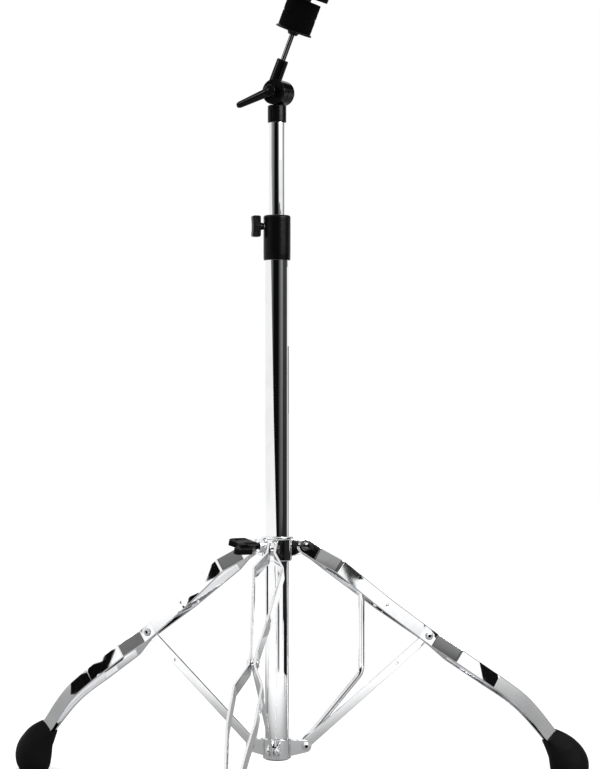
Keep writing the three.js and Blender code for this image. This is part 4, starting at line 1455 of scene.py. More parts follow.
@dataclass
class LegHub:
    """The sliding hub that carries the legs, with its wing screw."""

    bottom: float = 293.0
    top: float = 322.0
    bore: float = 14.65
    outer: float = 17.95
    lip: float = 1.6
    lip_height: float = 3.0
    ear_thickness: float = 5.2
    ear_foot: float = 3.4
    ear_radius: float = 8.2
    ear_height: float = 22.0
    boss_radius: float = 8.3
    boss_length: float = 24.7
    boss_height: float = 311.0
    boss_turn: float = 202.5
    ear_sweep: float = 84.0
    ear_rim: float = 0.9
    screw_hole: float = 3.3
    # The wing: where it starts, flares, has its shoulder and ends, and how deep its tail is notched
    wing_start: float = 28.4
    wing_flare: float = 29.5
    wing_shoulder: float = 51.0
    wing_end: float = 58.5
    wing_notch: float = 50.5
    wing_neck: float = 5.4
    wing_half: float = 14.2
    wing_tip: float = 11.8
    wing_roll: float = 64.0

    def build(self, bench: Bench) -> None:
        """Builds and sets the hub and its wing screw.

        Args:
            bench: The bench that sets them.
        """
        bench.fit(self._hub(), "leg_hub")
        lay, start, neck = LAYOUT, self.wing_start, self.wing_neck
        WingKnob(
            "leg_hub_wing", self._wing_outline(), height=self.boss_height, turn=self.boss_turn,
            roll=self.wing_roll, tip=lay.base_radius + lay.gap, neck_from=self.boss_length + lay.knob_room,
            neck_to=start, neck=neck, bite=13.0, thickness=7.2, rim=1.5, dish=0.7,
        ).build(bench)

    def _wing_outline(self) -> list[Pair]:
        """The wing's outline: a neck, two flared shoulders and a notched tail.

        Returns:
            The outline's points in order.
        """
        start, flare, neck, half = self.wing_start, self.wing_flare, self.wing_neck, self.wing_half
        shoulder, end, notch, tip = self.wing_shoulder, self.wing_end, self.wing_notch, self.wing_tip
        rise = flare + (shoulder - flare) / 3
        upper = [
            *bow((start, -neck), (flare, -neck), (rise, -half)), (shoulder, -half),
            *bow((shoulder, -half), (end, -half), (end, -tip + neck / 2)),
            *bow((end, -tip + neck / 2), (notch, -neck / 2), (notch, 0.0)),
        ]
        return [(start, -neck), *upper, *((x, -z) for x, z in reversed(upper[:-1])), (start, neck)]

    def _hub(self) -> Form:
        """A turned body with three ears and the screw's boss.

        Returns:
            The hub.
        """
        lay = LAYOUT
        lip_start = self.top - self.lip_height
        body = Form.turned([
            (self.bore, self.bottom, 0.3), (self.outer, self.bottom, 0.8), (self.outer, lip_start, 0.7),
            (self.outer + self.lip, lip_start, 0.7), (self.outer + self.lip, self.top, 1.0),
            (self.bore, self.top, 0.4),
        ], steps=112)
        start = self.bore + 1.2
        low = self.bottom + self.ear_foot
        outline = [
            (start, low),
            *arc((lay.pivot_radius, lay.hub_pivot), self.ear_radius, -self.ear_sweep, self.ear_sweep, 20),
            (start, low + self.ear_height),
        ]
        hole = (lay.pivot_radius, lay.hub_pivot, lay.hole)
        ears = [
            Form.plate(outline, self.ear_thickness, self.ear_rim, [hole]).moved(lay.leg_turn(index))
            for index in range(3)
        ]
        boss_place = shift(0, 0, self.boss_height) @ turn_z(self.boss_turn)
        boss = Form.rod(self.boss_radius, start, self.boss_length, Lie.ALONG_X, 0.8).moved(boss_place)
        screw = Form.rod(self.screw_hole, 0, self.boss_length + 2, Lie.ALONG_X).moved(boss_place)
        bore = Form.rod(self.bore, self.bottom - 2, self.top + 2)
        return body.joined(*ears, boss).carved(bore, screw)


@dataclass
class Leg:
    """One leg: two bowed strips, their rivets, the rubber foot, the brace and any stay bar."""

    name: str
    index: int
    width: float = 17.5
    foot_radius: float = 388.0
    foot_height: float = 45.0
    bow_spread: float = 17.0
    shoulder: float = 18.4
    gauge_hole: float = 2.1
    brace_width: float = 11.5
    eye_radius: float = 6.8
    spot_radius: float = 1.6
    spot_share: float = 0.745
    edge: float = 0.9
    brace_rim: float = 0.6
    shoulder_bend: float = 7.0
    bend_steps: int = 7
    end_angles: tuple[int, ...] = (84, 74, 63, 52, 41, 30, 20, 10)
    joint: Pair = (0.4703, 0.4356)
    gauge: Pair = (0.3003, 0.2803)
    # Share of the way out, of the way down, of the bow, and the bend's radius
    stations: tuple[tuple[float, float, float, float], ...] = (
        (0.112, 0.0931, 1.0, 9.0), (0.3003, 0.2803, 0.47, 160.0), (0.4448, 0.4121, 0.0, 12.0),
        (0.494, 0.4587, 0.0, 6.0), (0.571, 0.5325, 0.89, 8.0), (0.72, 0.6618, 0.86, 8.0),
        (0.7649, 0.7008, 0.72, 200.0), (0.813, 0.7443, 0.58, 300.0), (0.8555, 0.7917, 0.43, 300.0),
        (0.8952, 0.8466, 0.3, 300.0), (0.9263, 0.8939, 0.2, 300.0), (0.9518, 0.9337, 0.12, 300.0),
        (1.0, 1.0, 0.02, 0.0),
    )

    def build(self, bench: Bench) -> None:
        """Builds and sets every piece of the leg.

        Args:
            bench: The bench that sets them.
        """
        lay = LAYOUT
        turn = lay.leg_turn(self.index)
        hub_seat = lay.hub_spread + lay.strip / 2 + lay.play
        stub, stub_seat = lay.nip_spread - lay.strip / 2 + lay.gap, lay.nip_spread + lay.strip / 2 + lay.play
        hub_place = turn @ shift(lay.pivot_radius, 0, lay.hub_pivot)
        bench.fit(RIVET.across(hub_seat), f"{self.name}_hub_pivot_rivet", hub_place, look=Looks.DARK_STEEL)
        joint = self._point(*self.joint)
        joint_place = turn @ shift(joint[0], 0, joint[1])
        for side, side_name in ((1, "left"), (-1, "right")):
            bench.fit(self._strip(side), f"{self.name}_leg_strip_{side_name}", turn)
            rivet = RIVET.half(side, stub, stub_seat)
            bench.fit(rivet, f"{self.name}_leg_joint_rivet_{side_name}", joint_place)
        bench.fit(RubberFoot(self).form(), f"{self.name}_rubber_foot", turn, 50.0)
        bench.fit(self._brace(), f"{self.name}_brace", turn)
        if self.index == 0:
            bench.fit(StayBar().form(), f"{self.name}_stay_bar", turn)

    def _point(self, out: float, down: float) -> Pair:
        """A place on the leg's line, as distance out and height."""
        lay = LAYOUT
        return mix(lay.pivot_radius, self.foot_radius, out), mix(lay.hub_pivot, self.foot_height, down)

    def spread(self, share: float) -> float:
        """Half the distance between the strips at a share of the bow."""
        return mix(LAYOUT.nip_spread, self.bow_spread, share)

    def line(self) -> tuple[list[Vector], list[float]]:
        """The strip's corner points on the left side, from the pivot on, and their bend radii.

        Returns:
            The points and the radii.
        """
        lay = LAYOUT
        pivot = Vector((lay.pivot_radius, lay.hub_spread, lay.hub_pivot))
        points, radii = [pivot], [0.0]
        for out, down, share, radius in self.stations:
            x, z = self._point(out, down)
            points.append(Vector((x, self.spread(share), z)))
            radii.append(radius)
        heading = Vector((points[1].x - pivot.x, 0, points[1].z - pivot.z)).normalized()
        points.insert(1, pivot + heading * self.shoulder)
        radii.insert(1, self.shoulder_bend)
        return points, radii

    def _strip(self, side: int) -> Form:
        """One strip: a round end, smooth bends and rolled edges.

        Args:
            side: 1 for the left strip and -1 for the right one.

        Returns:
            The strip.
        """
        points, radii = self.line()
        path = softened([Vector((p.x, side * p.y, p.z)) for p in points], radii, self.bend_steps, False)
        half, flat_half = self.width / 2, LAYOUT.strip / 2
        rings = []
        heading = (path[1] - path[0]).normalized()
        across = heading.cross(SIDEWAYS).normalized()
        for angle in self.end_angles:
            turn = math.radians(angle)
            centre = path[0] - heading * half * math.sin(turn)
            rings.append(Ring(centre, across, SIDEWAYS, half * math.cos(turn), flat_half, edge=self.edge))
        for i, point in enumerate(path):
            run = (path[min(i + 1, len(path) - 1)] - path[max(i - 1, 0)]).normalized()
            across = run.cross(SIDEWAYS).normalized()
            flat = across.cross(run).normalized()
            rings.append(Ring(point, across, flat, half, flat_half, edge=self.edge))
        strip = Form.swept(rings)
        x, z = self._point(*self.gauge)
        reach = self.bow_spread + self.width
        holes = [Form.rod(self.gauge_hole, -reach, reach, Lie.ALONG_Y).moved(shift(x, 0, z))]
        for place in ((LAYOUT.pivot_radius, LAYOUT.hub_pivot), self._point(*self.joint)):
            hole = Form.rod(LAYOUT.hole, -reach, reach, Lie.ALONG_Y)
            holes.append(hole.moved(shift(place[0], 0, place[1])))
        return strip.carved(*holes)

    def _brace(self) -> Form:
        """A flat brace bar with two eyes and a spot hole.

        Returns:
            The brace.
        """
        lay = LAYOUT
        joint = self._point(*self.joint)
        out, up = joint[0] - lay.pivot_radius, joint[1] - lay.collar_pivot
        run = math.hypot(out, up)
        opening = math.degrees(math.asin(self.brace_width / 2 / self.eye_radius))
        outline = [
            *arc((0.0, 0.0), self.eye_radius, opening, 360 - opening, 32),
            *arc((run, 0.0), self.eye_radius, opening - 180, 180 - opening, 32),
        ]
        holes = [(0.0, 0.0, lay.hole), (run, 0.0, lay.hole), (run * self.spot_share, 0.0, self.spot_radius)]
        bar = Form.plate(outline, lay.brace, self.brace_rim, holes)
        climb = Matrix.Rotation(-math.atan2(up, out), 4, "Y")
        return bar.moved(shift(lay.pivot_radius, 0, lay.collar_pivot) @ climb)


@dataclass
class StayBar:
    """The round stay bar beside the right brace, flattened at its rivet and bent upright."""

    radius: float = 4.0
    bend_radius: float = 20.0
    bend_out: float = 114.0
    bend_height: float = 153.0
    top: float = 250.0
    offset: float = 5.95
    flat_half: float = 0.9
    flat_width: float = 6.5
    # How far from the rivet the flat is even, and where it starts and ends to turn round
    flat_end: float = 6.0
    blend_start: float = 9.0
    blend_end: float = 24.0
    blend_steps: int = 8
    tip: float = 1.2
    flat_power: float = 4.0
    flat_room: float = 0.55
    bend_steps: int = 14
    eye_angles: tuple[int, ...] = (84, 72, 60, 45, 30, 15)
    tip_angles: tuple[int, ...] = (0, 30, 60, 85)

    def form(self) -> Form:
        """Sweeps the whole bar in the leg's frame.

        Returns:
            The bar.
        """
        lay = LAYOUT
        start = Vector((lay.pivot_radius, 0, lay.collar_pivot))
        corner = Vector((self.bend_out, 0, self.bend_height))
        run = corner - start
        climb = math.atan2(run.z, run.x)
        turn = math.pi / 2 - climb
        length = run.length - self.bend_radius * math.tan(turn / 2)
        heading = run.normalized()
        inward = Vector((-math.sin(climb), 0, math.cos(climb)))
        flat_y = lay.brace / 2 + self.flat_room + self.flat_half
        rings = []
        for distance, half, share in self._places(length):
            centre = start + heading * distance + Vector((0, mix(flat_y, self.offset, share), 0))
            thick = mix(self.flat_half, self.radius, share)
            rings.append(Ring(centre, inward, SIDEWAYS, half, thick, mix(self.flat_power, 2.0, share)))
        bend_start = start + heading * length + Vector((0, self.offset, 0))
        hub = bend_start + inward * self.bend_radius
        for i in range(1, self.bend_steps + 1):
            angle = climb + turn * i / self.bend_steps
            away = Vector((math.sin(angle), 0, -math.cos(angle)))
            rings.append(self._round(hub + away * self.bend_radius, -away, self.radius))
        for angle in self.tip_angles:
            drop = self.tip * math.sin(math.radians(angle))
            radius = self.radius - self.tip * (1 - math.cos(math.radians(angle)))
            centre = Vector((self.bend_out, self.offset, self.top - self.tip + drop))
            rings.append(self._round(centre, Vector((-1, 0, 0)), radius))
        hole = Form.rod(lay.hole, -30, 30, Lie.ALONG_Y).moved(shift(lay.pivot_radius, 0, lay.collar_pivot))
        return Form.swept(rings, 28).carved(hole)

    def _round(self, centre: Vector, along: Vector, radius: float) -> Ring:
        """A round section of the bar."""
        return Ring(centre, along, SIDEWAYS, radius, radius)

    def _places(self, length: float) -> list[Corner]:
        """The sections from the eye to the bend.

        Args:
            length: How far the bend is from the eye.

        Returns:
            Distance, half width and roundness of each section.
        """
        places = []
        for angle in self.eye_angles:
            turn = math.radians(angle)
            places.append((-self.flat_width * math.sin(turn), self.flat_width * math.cos(turn), 0.0))
        places += [(0.0, self.flat_width, 0.0), (self.flat_end, self.flat_width, 0.0)]
        for i in range(self.blend_steps + 1):
            share = i / self.blend_steps
            ease = share * share * (3 - 2 * share)
            distance = mix(self.blend_start, self.blend_end, share)
            places.append((distance, mix(self.flat_width, self.radius, ease), ease))
        return [*places, (length, self.radius, 1.0)]


@dataclass
class RubberFoot:
    """A rubber boot over the ends of a leg's two strips, swelling to a flat sole."""

    leg: Leg
    neck_in_plane: float = 11.4
    neck_across: float = 9.7
    bulb_in_plane: float = 25.6
    bulb_across: float = 20.8
    neck_drop: float = 3.0
    sole_radius: float = 401.0
    belly: Pair = (409.0, 34.0)
    pocket_end: float = 0.6
    lip: float = 0.7
    spans: int = 36
    room: float = 1.8
    neck_power: float = 4.0
    # How early the boot turns down, how soon its section is round, and how it swells along its length
    turn_power: float = 0.8
    rounding: float = 1.4
    shares: tuple[float, ...] = (0, 0.04, 0.16, 0.3, 0.44, 0.58, 0.74, 0.89, 0.96, 1)
    swells: tuple[float, ...] = (0, 0.08, 0.34, 0.62, 0.84, 0.98, 1, 0.86, 0.66, 0.44)

    def form(self) -> Form:
        """Sweeps the boot and cuts its pocket for the strips.

        Returns:
            The boot.
        """
        points, _ = self.leg.line()
        mouth, end = points[-2], points[-1]
        fall = math.atan2(mouth.z - end.z, end.x - mouth.x)
        neck = (mouth.x + math.cos(fall) * self.neck_drop, mouth.z - math.sin(fall) * self.neck_drop)
        path = [neck, *bow(neck, self.belly, (self.sole_radius, 0.0), self.spans)]
        rings = []
        for i, (x, z) in enumerate(path):
            share = i / self.spans
            tilt = mix(fall, math.pi / 2, share**self.turn_power)
            swell = self._swell(share)
            along = Vector((math.sin(tilt), 0, math.cos(tilt)))
            rings.append(Ring(
                Vector((x, 0, z)), along, SIDEWAYS, mix(self.neck_in_plane, self.bulb_in_plane, swell),
                mix(self.neck_across, self.bulb_across, swell),
                mix(self.neck_power, 2.0, min(swell * self.rounding, 1.0)),
            ))
        lip, mouth_ring = self.lip, rings[0]
        edge = [(lip, 0.0), (lip * 0.3, lip * 0.35), (0.0, lip)]
        rings[:1] = [self._shrunk(mouth_ring, by, drop) for by, drop in edge]
        return Form.swept(rings, 48).carved(self._pocket(points, fall))

    def _shrunk(self, ring: Ring, by: float, drop: float) -> Ring:
        """A ring drawn in for the rounded lip, moved a little along the neck.

        Args:
            ring: The neck's first ring.
            by: How far it is drawn in.
            drop: How far it is moved.

        Returns:
            The new ring.
        """
        inward = ring.along.cross(ring.across).normalized()
        inward = inward if inward.x > 0 else -inward
        return Ring(
            ring.centre + inward * drop, ring.along, ring.across, ring.half_along - by,
            ring.half_across - by, ring.power,
        )

    def _swell(self, share: float) -> float:
        """How far the boot has swelled, on a smooth curve through its shares and swells.

        Args:
            share: A share of its length.

        Returns:
            The share of the whole swelling.
        """
        spots, values = self.shares, self.swells
        i = max(k for k in range(len(spots) - 1) if spots[k] <= share)
        a, b = spots[i], spots[i + 1]
        t = (share - a) / (b - a)
        before, after = max(i - 1, 0), min(i + 2, len(spots) - 1)
        slope_a = (values[i + 1] - values[before]) / (spots[i + 1] - spots[before]) * (b - a)
        slope_b = (values[after] - values[i]) / (spots[after] - spots[i]) * (b - a)
        square, cube = t * t, t**3
        return (
            (2 * cube - 3 * square + 1) * values[i] + (cube - 2 * square + t) * slope_a
            + (3 * square - 2 * cube) * values[i + 1] + (cube - square) * slope_b
        )

    def _pocket(self, points: list[Vector], fall: float) -> Form:
        """The space for the two strips, from outside the neck to past their ends.

        Args:
            points: The strip's corner points.
            fall: The angle at which the strips come down.

        Returns:
            The space, as a form to cut away.
        """
        last = points[-1]
        tail = last + Vector((math.cos(fall), 0, -math.sin(fall))) * self.pocket_end
        line = [points[-3], points[-2], last, tail]
        half = self.leg.width / 2 + LAYOUT.gap
        rings = []
        for i, point in enumerate(line):
            run = line[min(i + 1, 3)] - line[max(i - 1, 0)]
            normal = Vector((-run.z, 0, run.x)).normalized()
            middle = Vector((point.x, 0, point.z))
            rings.append(Ring(middle, normal, SIDEWAYS, half, point.y + self.room, edge=0.6))
        return Form.swept(rings)


@dataclass
class HeightClamp:
    """The moulded collar at the top of the base tube, its bush and its wing screw."""

    bottom: float = 653.0
    top: float = 707.0
    radius: float = 16.05
    belly: float = 16.3
    shoulder: float = 5.6
    roof: float = 10.6
    cap_line: float = 700.2
    band_line: float = 659.4
    groove_depth: float = 0.35
    groove_width: float = 0.5
    bush_length: float = 48.0
    bush_play: float = 0.35
    screw_height: float = 693.4
    screw_turn: float = 196.0
    screw_hole: float = 3.3
    # The wing: where it starts and ends, half its height, and the size of its corners
    wing_start: float = 21.0
    wing_end: float = 31.0
    wing_half: float = 12.8
    wing_corner: float = 2.6

    def build(self, bench: Bench) -> None:
        """Builds and sets the collar, bush and wing screw.

        Args:
            bench: The bench that sets them.
        """
        lay = LAYOUT
        bench.fit(self._collar(), "height_collar")
        inner, outer = lay.upper_radius + self.bush_play, lay.base_radius - lay.wall - lay.play
        bush = Form.tube(inner, outer, lay.base_top - self.bush_length, lay.base_top, (0.3, 0.3, 0.2, 0.2))
        bench.fit(bush.carved(self._screw_hole(0, outer + 2)), "height_collar_bush")
        WingKnob(
            "height_wing", self._wing_outline(), height=self.screw_height, turn=self.screw_turn, roll=0.0,
            tip=lay.upper_radius + lay.gap, neck_from=self.belly + lay.knob_room, neck_to=self.wing_start,
            neck=4.8, bite=8.4, thickness=8.6, rim=1.3, dish=0.5,
        ).build(bench)

    def _wing_outline(self) -> list[Pair]:
        """The wing's outline: a waisted block with round corners.

        Returns:
            The outline's points in order.
        """
        start, end, half, corner = self.wing_start, self.wing_end, self.wing_half, self.wing_corner
        waist = end - corner / 2
        return [
            (start + corner, -half), (end - corner, -half),
            *bow((end - corner, -half), (end, -half), (end, -half + corner), 5),
            *bow((end, -half + corner), (waist, 0.0), (end, half - corner), 10),
            *bow((end, half - corner), (end, half), (end - corner, half), 5),
            (start + corner, half),
            *bow((start + corner, half), (start, half), (start, half - corner), 5),
            (start, -half + corner),
            *bow((start, -half + corner), (start, -half), (start + corner, -half), 5)[:-1],
        ]

    def _screw_hole(self, low: float, high: float) -> Form:
        """The clearance hole that the wing screw passes."""
        place = shift(0, 0, self.screw_height) @ turn_z(self.screw_turn)
        return Form.rod(self.screw_hole, low, high, Lie.ALONG_X).moved(place)

    def _collar(self) -> Form:
        """The moulded collar with its two parting grooves and domed roof.

        Returns:
            The collar.
        """
        lay = LAYOUT
        low_bore, high_bore = lay.base_radius + lay.gap, lay.upper_radius + lay.gap
        roof_at = lay.base_top + lay.gap

        def groove(z: float) -> list[Corner]:
            """A shallow groove round the collar.

            Args:
                z: Its height.

            Returns:
                Its outline.
            """
            wide, deep = self.groove_width, self.groove_depth
            return [
                (self.belly, z - wide, 0.2), (self.belly - deep, z - wide * 0.3, 0.1),
                (self.belly - deep, z + wide * 0.3, 0.1), (self.belly, z + wide, 0.2),
            ]

        body = Form.turned([
            (low_bore, self.bottom, 0.3), (self.radius, self.bottom, 0.7), *groove(self.band_line),
            *groove(self.cap_line), (self.belly, self.top, self.shoulder), (self.roof, self.top, 0.5),
            (high_bore, self.top - (self.roof - high_bore), 0.3), (high_bore, roof_at, 0.2),
            (low_bore, roof_at, 0.0),
        ], steps=112, arc_steps=8)
        return body.carved(self._screw_hole(0, self.radius + self.shoulder))


@dataclass
class UpperTube:
    """The tube that slides in the base tube."""

    def build(self, bench: Bench) -> None:
        """Builds and sets the tube.

        Args:
            bench: The bench that sets it.
        """
        lay = LAYOUT
        inner, rims = lay.upper_radius - lay.wall, (0.4, 0.6, 0.5, 0.4)
        tube = Form.tube(inner, lay.upper_radius, lay.upper_bottom, lay.upper_top, rims, 128)
        bench.fit(tube, "upper_tube")


@dataclass
class Tilter:
    """The ratchet tilter: socket, toothed discs, arm, bolt and wing lever."""

    height: float = 854.5
    turn: float = -28.0
    lean: float = 23.3
    disc_radius: float = 15.3
    near_disc: float = 10.0
    far_disc: float = 16.5
    tooth: float = 0.8
    teeth: int = 18
    tooth_inner: float = 8.0
    rim: float = 1.2
    barrel_radius: float = 11.2
    barrel_drop: float = -36.5
    web_half: float = 6.0
    web_depth: float = 8.3
    web_drop: float = 24.0
    slot_width: float = 1.4
    slot_height: float = 15.0
    slot_turn: float = 234.0
    stem: Pair = (-4.8, -5.2)
    stem_root: Pair = (7.2, 4.7)
    stem_top: Pair = (6.9, 4.6)
    stem_length: float = 39.0
    stem_round: float = 2.0
    bolt_radius: float = 3.0
    bolt_head: float = 7.0
    bolt_dome: float = 3.6
    rod_radius: float = 3.0
    rod_depth: float = 15.0
    lever_hub: float = 7.4
    lever_length: float = 9.6
    lever_bore: float = 7.6
    lever_droop: float = 18.4
    lever_reach: float = 48.8
    # Half sizes of the lever's handle at its root and its tip, and where it leaves the hub
    lever_root: Pair = (5.6, 4.4)
    lever_tip: Pair = (3.8, 3.2)
    lever_inset: float = 5.4
    lever_power: float = 2.8
    lever_taper_end: float = 0.9
    lever_end_angles: tuple[int, ...] = (15, 30, 45, 60, 72, 82)
    stem_power: float = 3.4
    stem_taper: float = 1.15
    stem_steps: int = 8
    stem_end_angles: tuple[int, ...] = (25, 50, 75)
    disc_rim_angles: tuple[int, ...] = (30, 60, 90)
    head: Matrix = field(init=False)
    arm: Matrix = field(init=False)

    def __post_init__(self) -> None:
        """Works out the frames of the head and the arm."""
        self.head = shift(0, 0, self.height) @ turn_z(self.turn)
        self.arm = self.head @ Matrix.Rotation(math.radians(self.lean), 4, "Y")

    def build(self, bench: Bench) -> None:
        """Builds and sets the body, arm, bolt and lever.

        Args:
            bench: The bench that sets them.
        """
        bench.fit(self._body(), "tilter_body", self.head)
        bench.fit(self._arm(), "tilter_arm", self.arm)
        bench.fit(self._bolt(), "tilter_bolt", self.head)
        bench.fit(self._lever(), "tilter_wing_lever", self.head)

    def _disc(self, back: float, face: float) -> Form:
        """A ratchet disc whose toothed face looks along y.

        Args:
            back: Where its plain back is.
            face: Where its teeth end.

        Returns:
            The disc.
        """
        toward = math.copysign(1.0, face - back)
        root = face - toward * self.tooth
        count = self.teeth * 4

        def loop(radius: float, low: float, lift: float) -> list[Vector]:
            """A ring of points, raised by the teeth.

            Args:
                radius: Its radius.
                low: Where it lies along y.
                lift: Its share of the teeth's height.

            Returns:
                The points in order.
            """
            points = []
            for i in range(count):
                angle = i / count * 2 * math.pi
                wave = (0.0, 0.5, 1.0, 0.5)[i % 4]
                y = low + toward * self.tooth * wave * lift
                points.append(Vector((radius * math.cos(angle), y, radius * math.sin(angle))))
            return points

        loops = [loop(self.disc_radius - self.rim, back, 0.0)]
        for angle in self.disc_rim_angles:
            turn = math.radians(angle)
            radius = self.disc_radius - self.rim * (1 - math.sin(turn))
            loops.append(loop(radius, back + toward * self.rim * (1 - math.cos(turn)), 0.0))
        loops.append(loop(self.disc_radius, root, 0.6))
        loops.append(loop(self.disc_radius - 0.35, root, 1.0))
        loops.append(loop(self.tooth_inner, root, 0.15))
        loops.append(loop(self.tooth_inner - 0.6, root, 0.0))
        return Form.skinned(loops)

    def _body(self) -> Form:
        """The socket barrel, its web and the fixed disc.

        Returns:
            The body.
        """
        lay = LAYOUT
        low, high = self.barrel_drop, -self.disc_radius - lay.gap
        barrel = Form.turned([
            (0.0, low, 0.0), (self.barrel_radius, low, self.rim), (self.barrel_radius, high, self.rim + 0.6),
            (0.0, high, 0.0),
        ], steps=96)
        start = lay.gap + self.tooth
        web = Form.block(
            (2 * self.web_half, self.web_depth, self.web_drop),
            (0.0, start + self.web_depth / 2, -self.web_drop / 2), self.rim,
        )
        bore = Form.rod(lay.upper_radius + lay.gap, low - 2, lay.gap - (self.height - lay.upper_top))
        bolt_hole = Form.rod(self.bolt_radius + lay.play, -2, self.far_disc + 2, Lie.ALONG_Y)
        reach = self.barrel_radius + 2
        slot = Form.block(
            (reach, self.slot_width, self.slot_height + 2), (reach / 2, 0, low + (self.slot_height - 2) / 2)
        ).moved(turn_z(self.slot_turn - self.turn))
        disc = self._disc(lay.gap + self.far_disc, lay.gap)
        return barrel.joined(disc, web).carved(bore, bolt_hole, slot)

    def _arm(self) -> Form:
        """The moving disc with the stem that holds the rod.

        Returns:
            The arm.
        """
        lay = LAYOUT
        x, y = self.stem
        rings = []

        def section(z: float, share: float, shrink: float) -> Ring:
            """A section across the stem.

            Args:
                z: Its height.
                share: How far the stem has tapered.
                shrink: How far it is drawn in for the round end.

            Returns:
                The section.
            """
            return Ring(
                Vector((x, y, z)), Vector((1, 0, 0)), SIDEWAYS,
                mix(self.stem_root[0], self.stem_top[0], share) - shrink,
                mix(self.stem_root[1], self.stem_top[1], share) - shrink, self.stem_power,
            )

        for i in range(self.stem_steps + 1):
            share = i / self.stem_steps
            z = share * (self.stem_length - self.stem_round)
            rings.append(section(z, min(share * self.stem_taper, 1.0), 0.0))
        for angle in self.stem_end_angles:
            turn = math.radians(angle)
            z = self.stem_length - self.stem_round * (1 - math.sin(turn))
            rings.append(section(z, 1.0, self.stem_round * 0.5 * (1 - math.cos(turn))))
        stem = Form.swept(rings, 40)
        rod_end = self.stem_length - self.rod_depth - lay.gap
        rod_hole = Form.rod(self.rod_radius + lay.play, rod_end, self.stem_length + 2).moved(shift(x, y, 0))
        bolt_hole = Form.rod(self.bolt_radius + lay.gap, -self.near_disc - 2, 2, Lie.ALONG_Y)
        return self._disc(-self.near_disc, 0.0).joined(stem).carved(rod_hole, bolt_hole)

    def _bolt(self) -> Form:
        """The pinch bolt with its domed head.

        Returns:
            The bolt.
        """
        seat = LAYOUT.gap + self.far_disc + LAYOUT.play
        tip = -self.near_disc - self.lever_bore
        top = seat + self.bolt_dome
        return Form.turned([
            (0.0, tip, 0.0), (self.bolt_radius, tip, 0.5), (self.bolt_radius, seat, 0.0),
            (self.bolt_head, seat, 0.3), (self.bolt_head, seat + self.bolt_dome / 3, 0.8),
            (self.bolt_head * 0.7, seat + self.bolt_dome * 0.85, 2.0), (0.0, top, 0.0),
        ], Lie.ALONG_Y, 48, 5)

    def _lever(self) -> Form:
        """The wing lever: a round hub and one drooping, tapering handle.

        Returns:
            The lever.
        """
        near = -self.near_disc - LAYOUT.knob_room
        far = near - self.lever_length
        hub = Form.turned([
            (0.0, far, 0.0), (self.lever_hub, far, 1.6), (self.lever_hub, near, 0.5), (0.0, near, 0.0),
        ], Lie.ALONG_Y, 64, 6)
        droop = math.radians(self.lever_droop)
        heading = Vector((-math.cos(droop), 0, -math.sin(droop)))
        across = Vector((heading.z, 0, -heading.x))
        centre = Vector((0, near - self.lever_inset, 0))
        even = self.lever_taper_end
        places = [(i / 20 * even, 1.0) for i in range(21)]
        for angle in self.lever_end_angles:
            turn = math.radians(angle)
            places.append((even + 0.1 * math.sin(turn), math.cos(turn) ** 0.7))
        rings = []
        for place, size in places:
            rings.append(Ring(
                centre + heading * place * self.lever_reach, across, SIDEWAYS,
                mix(self.lever_root[0], self.lever_tip[0], place) * size,
                mix(self.lever_root[1], self.lever_tip[1], place) * size, self.lever_power,
            ))
        gap = LAYOUT.gap
        bore = Form.rod(self.bolt_radius + gap, -self.near_disc - self.lever_bore - gap, 2, Lie.ALONG_Y)
        return hub.joined(Form.swept(rings, 28)).carved(bore)


